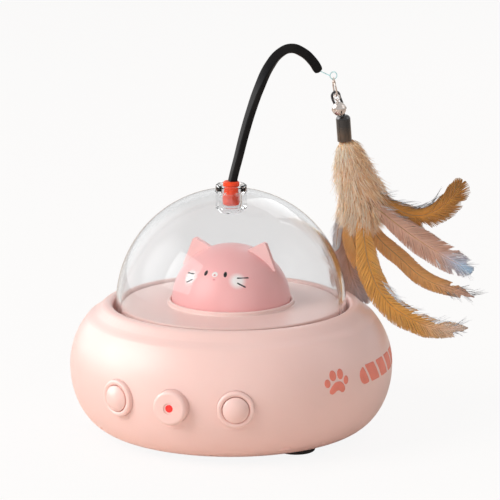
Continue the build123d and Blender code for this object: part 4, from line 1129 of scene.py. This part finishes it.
class CATTOY_OT_feathers(Operator):
    """Grow the seven long feathers, barb by barb"""

    bl_idname = "cat_toy.feathers"
    bl_label = "Grow Feathers"

    def execute(self, context):
        values = context.scene.cat_toy_lure
        ochre, mauve = tuple(values.ochre), tuple(values.mauve)
        looks = {
            "feather_1": (ochre, darker(ochre, 0.5), darker(ochre, 0.62)),
            "feather_2": (mauve, (0.74, 0.40, 0.29), (0.45, 0.64, 0.86)),
            "feather_3": ((0.96, 0.48, 0.17), (0.88, 0.42, 0.14), (0.70, 0.43, 0.36)),
            "feather_4": ((0.86, 0.38, 0.07), (0.95, 0.46, 0.11), (0.80, 0.62, 0.52)),
            "feather_5": (darker(mauve, 0.85), (0.68, 0.48, 0.44), (0.62, 0.52, 0.55)),
            "feather_6": ((0.98, 0.55, 0.20), (0.94, 0.48, 0.16), (0.84, 0.40, 0.10)),
            "feather_7": ((1.0, 1.0, 1.0), (0.92, 0.96, 1.0), (0.80, 0.92, 0.97)),
        }
        quill = textured("quill_horn", (0.55, 0.32, 0.15), 0.5, ((0.36, 0.21, 0.11), 200.0),
                         (1500.0, 0.00002, 0.2), Specular_IOR_Level=0.25)
        smoke, pale = (0.05, 0.045, 0.05), (0.80, 0.86, 0.93)
        wisp = Finish("wisp_finish", smoke, 0.5, Sheen_Weight=0.3)
        wisp.drive("Base Color", wisp.mix(wisp.remap(wisp.attribute("tone"), 0.3, 0.75), smoke, pale))
        wisp.grain(2600.0, 0.00003, 0.3)
        strand = unit_strand("unit_barb", 6, 1.0, 0.12, 0.06, 0.72)
        for order, name in enumerate(FEATHERS):
            finish = feather_finish(name + "_finish", *looks[name])
            make_feather(name, finish, quill, wisp, strand, values.barbs, values.seed + order)
        bpy.data.objects.remove(strand)
        return {"FINISHED"}


# Fluff: centre outwards, sideways and up, then half width and half depth, down the lure
FLUFF = (((59.8, 0.5, 142.2), 3.7, 3.6), ((60.6, 0.6, 140.2), 6.6, 5.6), ((62.2, 0.8, 136.5), 9.2, 7.2),
         ((63.8, 1.0, 130.5), 10.8, 8.0), ((65.2, 1.4, 124.0), 12.4, 8.8), ((68.2, 1.8, 118.0), 14.6, 9.4),
         ((70.4, 2.2, 111.5), 16.4, 9.8), ((70.2, 2.2, 106.0), 14.6, 9.4), ((70.2, 1.8, 101.5), 10.0, 7.6),
         ((70.2, 1.6, 98.0), 6.0, 4.6))
CORE_SHARE = 0.62
CORE_SIDES = 20
CORE_TONE = 0.3
# Strands: roots as shares of the radius, spread in degrees and tone (mean, deviation), sizes in mm
DOWN_ROOTS = (0.45, 0.8)
DOWN_SPREAD = (26, 10)
DOWN_LENGTHS = (4.5, 9.0)
DOWN_WIDTHS = (0.18, 0.36)
DOWN_TONES = (0.70, 0.24)
# Painted shade: how much darker the strands on one side of the fluff are made
DOWN_SIDE_PAINTED_SHADE = 0.26
DOWN_CROWDING = 0.8
DOWN_STRAY = 0.14


def down_finish(tan):
    """Soft down: strands brown, tan or cream by their tone, darker on one side as painted shade, with pale
    tips.
    """
    down = Finish("down_finish", tan, 0.7, Sheen_Weight=0.9, Sheen_Roughness=0.5, Subsurface_Weight=0.1,
                  Subsurface_Scale=0.003)
    tone = down.attribute("tone")
    # Low tones, which include the painted shade on one side of the fluff, give brown strands
    warm = down.mix(down.remap(tone, 0.0, 0.42), (0.42, 0.19, 0.085), tan)
    pale = down.mix(down.remap(tone, 0.55, 0.95), warm, (1.0, 0.90, 0.74))
    tips = down.remap(down.attribute("reach"), 0.4, 1.0, 0.0, 0.35)
    down.drive("Base Color", down.mix(tips, pale, (1.0, 0.85, 0.64)))
    down.grain(3000.0, 0.00003, 0.3)
    return down


def fluff_core(path, along):
    """Closed core that fills the fluff's middle."""
    points = []
    for centre, way, (_, wide, deep) in zip(path, along, FLUFF):
        across = way.cross(SIDEWAYS).normalized()
        for k in range(CORE_SIDES):
            turn = 2 * math.pi * k / CORE_SIDES
            points.append(centre + (across * math.cos(turn) * wide + SIDEWAYS * math.sin(turn) * deep)
                          * MM * CORE_SHARE)
    core = mesh_object("fluff_core", points, ring_faces(len(path), CORE_SIDES))
    add_field(core.data, "tone", [CORE_TONE] * len(points))
    return core


def down_seats(path, along, strands, dice):
    """Seats of the down's strands, which lean outwards and lie down the lure."""
    seats = []
    for _ in range(strands):
        at = (len(FLUFF) - 1) * dice.random() ** DOWN_CROWDING
        k = min(int(at), len(FLUFF) - 2)
        share = at - k
        centre = path[k].lerp(path[k + 1], share)
        way = along[k].lerp(along[k + 1], share).normalized()
        wide = FLUFF[k][1] * (1 - share) + FLUFF[k + 1][1] * share
        deep = FLUFF[k][2] * (1 - share) + FLUFF[k + 1][2] * share
        across = way.cross(SIDEWAYS).normalized()
        turn = dice.uniform(0, 2 * math.pi)
        outward = (across * math.cos(turn) * wide + SIDEWAYS * math.sin(turn) * deep) * MM
        root = centre + outward * dice.uniform(*DOWN_ROOTS)
        spread = math.radians(dice.gauss(*DOWN_SPREAD))
        hair = (way * math.cos(spread) + outward.normalized() * math.sin(spread)).normalized()
        stray = SIDEWAYS * dice.uniform(-DOWN_STRAY, DOWN_STRAY)
        hair = (hair + stray + across * dice.uniform(-DOWN_STRAY, DOWN_STRAY)).normalized()
        length = dice.uniform(*DOWN_LENGTHS) * (0.6 + 0.4 * wide / 16)
        # Random tone, less a painted shade that darkens one side of the fluff
        tone = min(1.0, max(0.0, dice.gauss(*DOWN_TONES) - DOWN_SIDE_PAINTED_SHADE * math.cos(turn)))
        thick = dice.uniform(*DOWN_WIDTHS)
        seats.append(Seat(root, hair, hair.cross(outward).normalized(), (length, thick, thick), tone))
    return seats


class CATTOY_OT_fluff(Operator):
    """Grow the soft down round the feathers' roots"""

    bl_idname = "cat_toy.fluff"
    bl_label = "Grow Fluff"

    def execute(self, context):
        values = context.scene.cat_toy_lure
        down = down_finish(tuple(values.tan))
        path = [lure_point(*place) for place, _, _ in FLUFF]
        along = directions(path)
        keep(fluff_core(path, along), down, "lure", "fluff_tan")
        strand = unit_strand("unit_down", 4, 1.0, 1.0, 0.22, 0.85)
        seats = down_seats(path, along, values.strands, random.Random(values.seed + 100))
        keep(scatter("fluff_down", seats, strand, down), down, "lure", "fluff_tan", "feather_fluff")
        bpy.data.objects.remove(strand)
        return {"FINISHED"}


# Stage: the camera's aim, and the pixel of the 500-pixel picture that it falls on
FOCUS = Vector((0, 0, 0.065))
PHOTO_SIZE = 500
FOCUS_PIXEL = (231.2, 302.0)
PIXELS_PER_RADIAN = 3030.0
SENSOR = 36.0
# Lamps: right, towards the camera and up, then size and colour
LAMPS = {"key": ((-1.15, 0.62, 0.9), 0.9, (1.0, 0.985, 0.97)),
         "fill": ((0.2, 1.5, 0.25), 1.0, (1.0, 0.95, 0.91)),
         "rim": ((0.6, -1.2, 0.9), 0.8, (1.0, 1.0, 1.0))}
LAMP_TARGET = Vector((0, 0, 0.06))
# Soft boxes that gloss mirrors: right, towards the camera and up, half width in degrees, and brightness
SOFT_BOXES = (((-0.90, 0.0, 0.47), 30, 5.5), ((-0.80, -0.50, 0.30), 40, 2.4), ((0.85, 0.06, 0.52), 28, 1.2))
STUDIO_WHITE = 0.9
FLOOR_HALF = 8.0
FLOOR_WHITE = 0.9


def around(azimuth, x, y, z):
    """Place or direction by steps to the camera's right, towards the camera and up."""
    right = Vector((math.cos(azimuth), math.sin(azimuth), 0))
    level = Vector((math.sin(azimuth), -math.cos(azimuth), 0))
    return right * x + level * y + UP * z


def set_camera(values):
    """Camera of the picture, round the toy and aimed at the focus."""
    back = Vector((math.sin(values.azimuth) * math.cos(values.elevation),
                   -math.cos(values.azimuth) * math.cos(values.elevation), math.sin(values.elevation)))
    camera = bpy.data.objects.new("camera", bpy.data.cameras.new("camera"))
    camera.location = FOCUS + back * values.distance
    camera.rotation_euler = back.to_track_quat("Z", "Y").to_euler()
    camera.data.sensor_width = SENSOR
    camera.data.lens = PIXELS_PER_RADIAN / PHOTO_SIZE * SENSOR
    camera.data.shift_x = (PHOTO_SIZE / 2 - FOCUS_PIXEL[0]) / PHOTO_SIZE
    camera.data.shift_y = (FOCUS_PIXEL[1] - PHOTO_SIZE / 2) / PHOTO_SIZE
    camera.data.clip_end = 30.0
    bpy.context.scene.collection.objects.link(camera)
    bpy.context.scene.camera = camera


def lamp(name, place, size, power, colour):
    """Square area lamp that faces the toy and that gloss doesn't mirror."""
    light = bpy.data.lights.new(name, "AREA")
    light.shape = "SQUARE"
    light.size = size
    light.energy = power
    light.color = colour
    obj = bpy.data.objects.new(name, light)
    obj.visible_glossy = False
    obj.location = place
    obj.rotation_euler = (place - LAMP_TARGET).to_track_quat("Z", "Y").to_euler()
    bpy.context.scene.collection.objects.link(obj)


def seen_directly(tree):
    """1 for rays from the camera, also through the clear dome, and 0 for others."""
    rays = tree.nodes.new("ShaderNodeLightPath").outputs
    return add_node(tree, "ShaderNodeMath", (rays["Is Camera Ray"], rays["Is Transmission Ray"]),
                    "MAXIMUM").outputs[0]


def set_floor():
    """Warm paper that looks almost white from the camera."""
    floor = mesh_object("floor", [(-FLOOR_HALF, -FLOOR_HALF, 0), (FLOOR_HALF, -FLOOR_HALF, 0),
                                  (FLOOR_HALF, FLOOR_HALF, 0), (-FLOOR_HALF, FLOOR_HALF, 0)], [(0, 1, 2, 3)])
    paper = Finish("floor_paper", (0.92, 0.81, 0.73), 0.9)
    paper.vary((0.90, 0.79, 0.71), 3.0)
    white = paper.add("ShaderNodeEmission", Color=(1, 1, 1, 1), Strength=1.0)
    share = paper.add("ShaderNodeMath", seen_directly(paper.tree), FLOOR_WHITE, operation="MULTIPLY")
    blend = paper.add("ShaderNodeMixShader", share.outputs[0], paper.shader.outputs["BSDF"],
                      white.outputs["Emission"])
    paper.tree.links.new(blend.outputs["Shader"], paper.tree.nodes["Material Output"].inputs["Surface"])
    floor.data.materials.append(paper.material)


def soft_boxes(tree, azimuth):
    """Brightness of the studio that gloss mirrors: even white with a few round soft boxes."""
    way = tree.nodes.new("ShaderNodeTexCoord").outputs["Generated"]
    total = STUDIO_WHITE
    for place, half_width, brightness in SOFT_BOXES:
        aim = around(azimuth, *place).normalized()
        facing = add_node(tree, "ShaderNodeVectorMath", (way, aim), "DOT_PRODUCT")
        lobe = add_node(tree, "ShaderNodeMapRange", Value=facing.outputs["Value"],
                        From_Min=math.cos(math.radians(half_width)), From_Max=1.0, To_Max=brightness)
        lobe.interpolation_type = "SMOOTHSTEP"
        total = add_node(tree, "ShaderNodeMath", (total, lobe.outputs["Result"])).outputs[0]
    return total


def set_world(azimuth, strength):
    """Even light, soft boxes for gloss, and white behind for the camera."""
    world = bpy.data.worlds.new("studio")
    bpy.context.scene.world = world
    world.use_nodes = True
    tree = world.node_tree
    sky = tree.nodes["Background"]
    sky.inputs["Color"].default_value = (1.0, 0.97, 0.95, 1.0)
    sky.inputs["Strength"].default_value = strength
    mirrored = add_node(tree, "ShaderNodeBackground", Strength=soft_boxes(tree, azimuth))
    backdrop = add_node(tree, "ShaderNodeBackground", Color=(1, 1, 1, 1))
    glossy = tree.nodes.new("ShaderNodeLightPath").outputs["Is Glossy Ray"]
    surface = sky.outputs[0]
    for factor, layer in ((glossy, mirrored), (seen_directly(tree), backdrop)):
        surface = add_node(tree, "ShaderNodeMixShader", (factor, surface, layer.outputs[0])).outputs[0]
    tree.links.new(surface, tree.nodes["World Output"].inputs["Surface"])


class CATTOY_OT_stage(Operator):
    """Set the floor, lamps, ambient light and camera"""

    bl_idname = "cat_toy.stage"
    bl_label = "Set Stage"

    def execute(self, context):
        values = context.scene.cat_toy_stage
        context.scene.view_settings.view_transform = "Standard"
        set_camera(values)
        for name, (place, size, colour) in LAMPS.items():
            lamp(name + "_lamp", around(values.azimuth, *place), size, getattr(values, name), colour)
        set_floor()
        set_world(values.azimuth, values.sky)
        return {"FINISHED"}


# Add-on
class CATTOY_PT_panel(Panel):
    """Lists the steps that dress the cat toy"""

    bl_idname = "CATTOY_PT_panel"
    bl_label = "Cat Toy"
    bl_space_type = "VIEW_3D"
    bl_region_type = "UI"
    bl_category = "Cat Toy"

    def draw(self, context):
        for group in ("cat_toy_casing", "cat_toy_lure", "cat_toy_stage"):
            values = getattr(context.scene, group)
            box = self.layout.box()
            for name in values.__annotations__:
                box.prop(values, name)
        for step in STEPS:
            self.layout.operator(step.bl_idname)


STEPS = (CATTOY_OT_casing, CATTOY_OT_prints, CATTOY_OT_cat_face, CATTOY_OT_dome, CATTOY_OT_wand,
         CATTOY_OT_hardware, CATTOY_OT_works, CATTOY_OT_screws, CATTOY_OT_lure_cord, CATTOY_OT_feathers,
         CATTOY_OT_fluff, CATTOY_OT_stage)
CLASSES = (CasingSettings, LureSettings, StageSettings, *STEPS, CATTOY_PT_panel)


def register():
    for cls in CLASSES:
        bpy.utils.register_class(cls)
    bpy.types.Scene.cat_toy_casing = PointerProperty(type=CasingSettings)
    bpy.types.Scene.cat_toy_lure = PointerProperty(type=LureSettings)
    bpy.types.Scene.cat_toy_stage = PointerProperty(type=StageSettings)


def unregister():
    del bpy.types.Scene.cat_toy_stage
    del bpy.types.Scene.cat_toy_lure
    del bpy.types.Scene.cat_toy_casing
    for cls in reversed(CLASSES):
        bpy.utils.unregister_class(cls)


def main():
    """Dresses the toy step by step."""
    register()
    for step in STEPS:
        group, name = step.bl_idname.split(".")
        getattr(getattr(bpy.ops, group), name)()


if __name__ == "__main__":
    main()
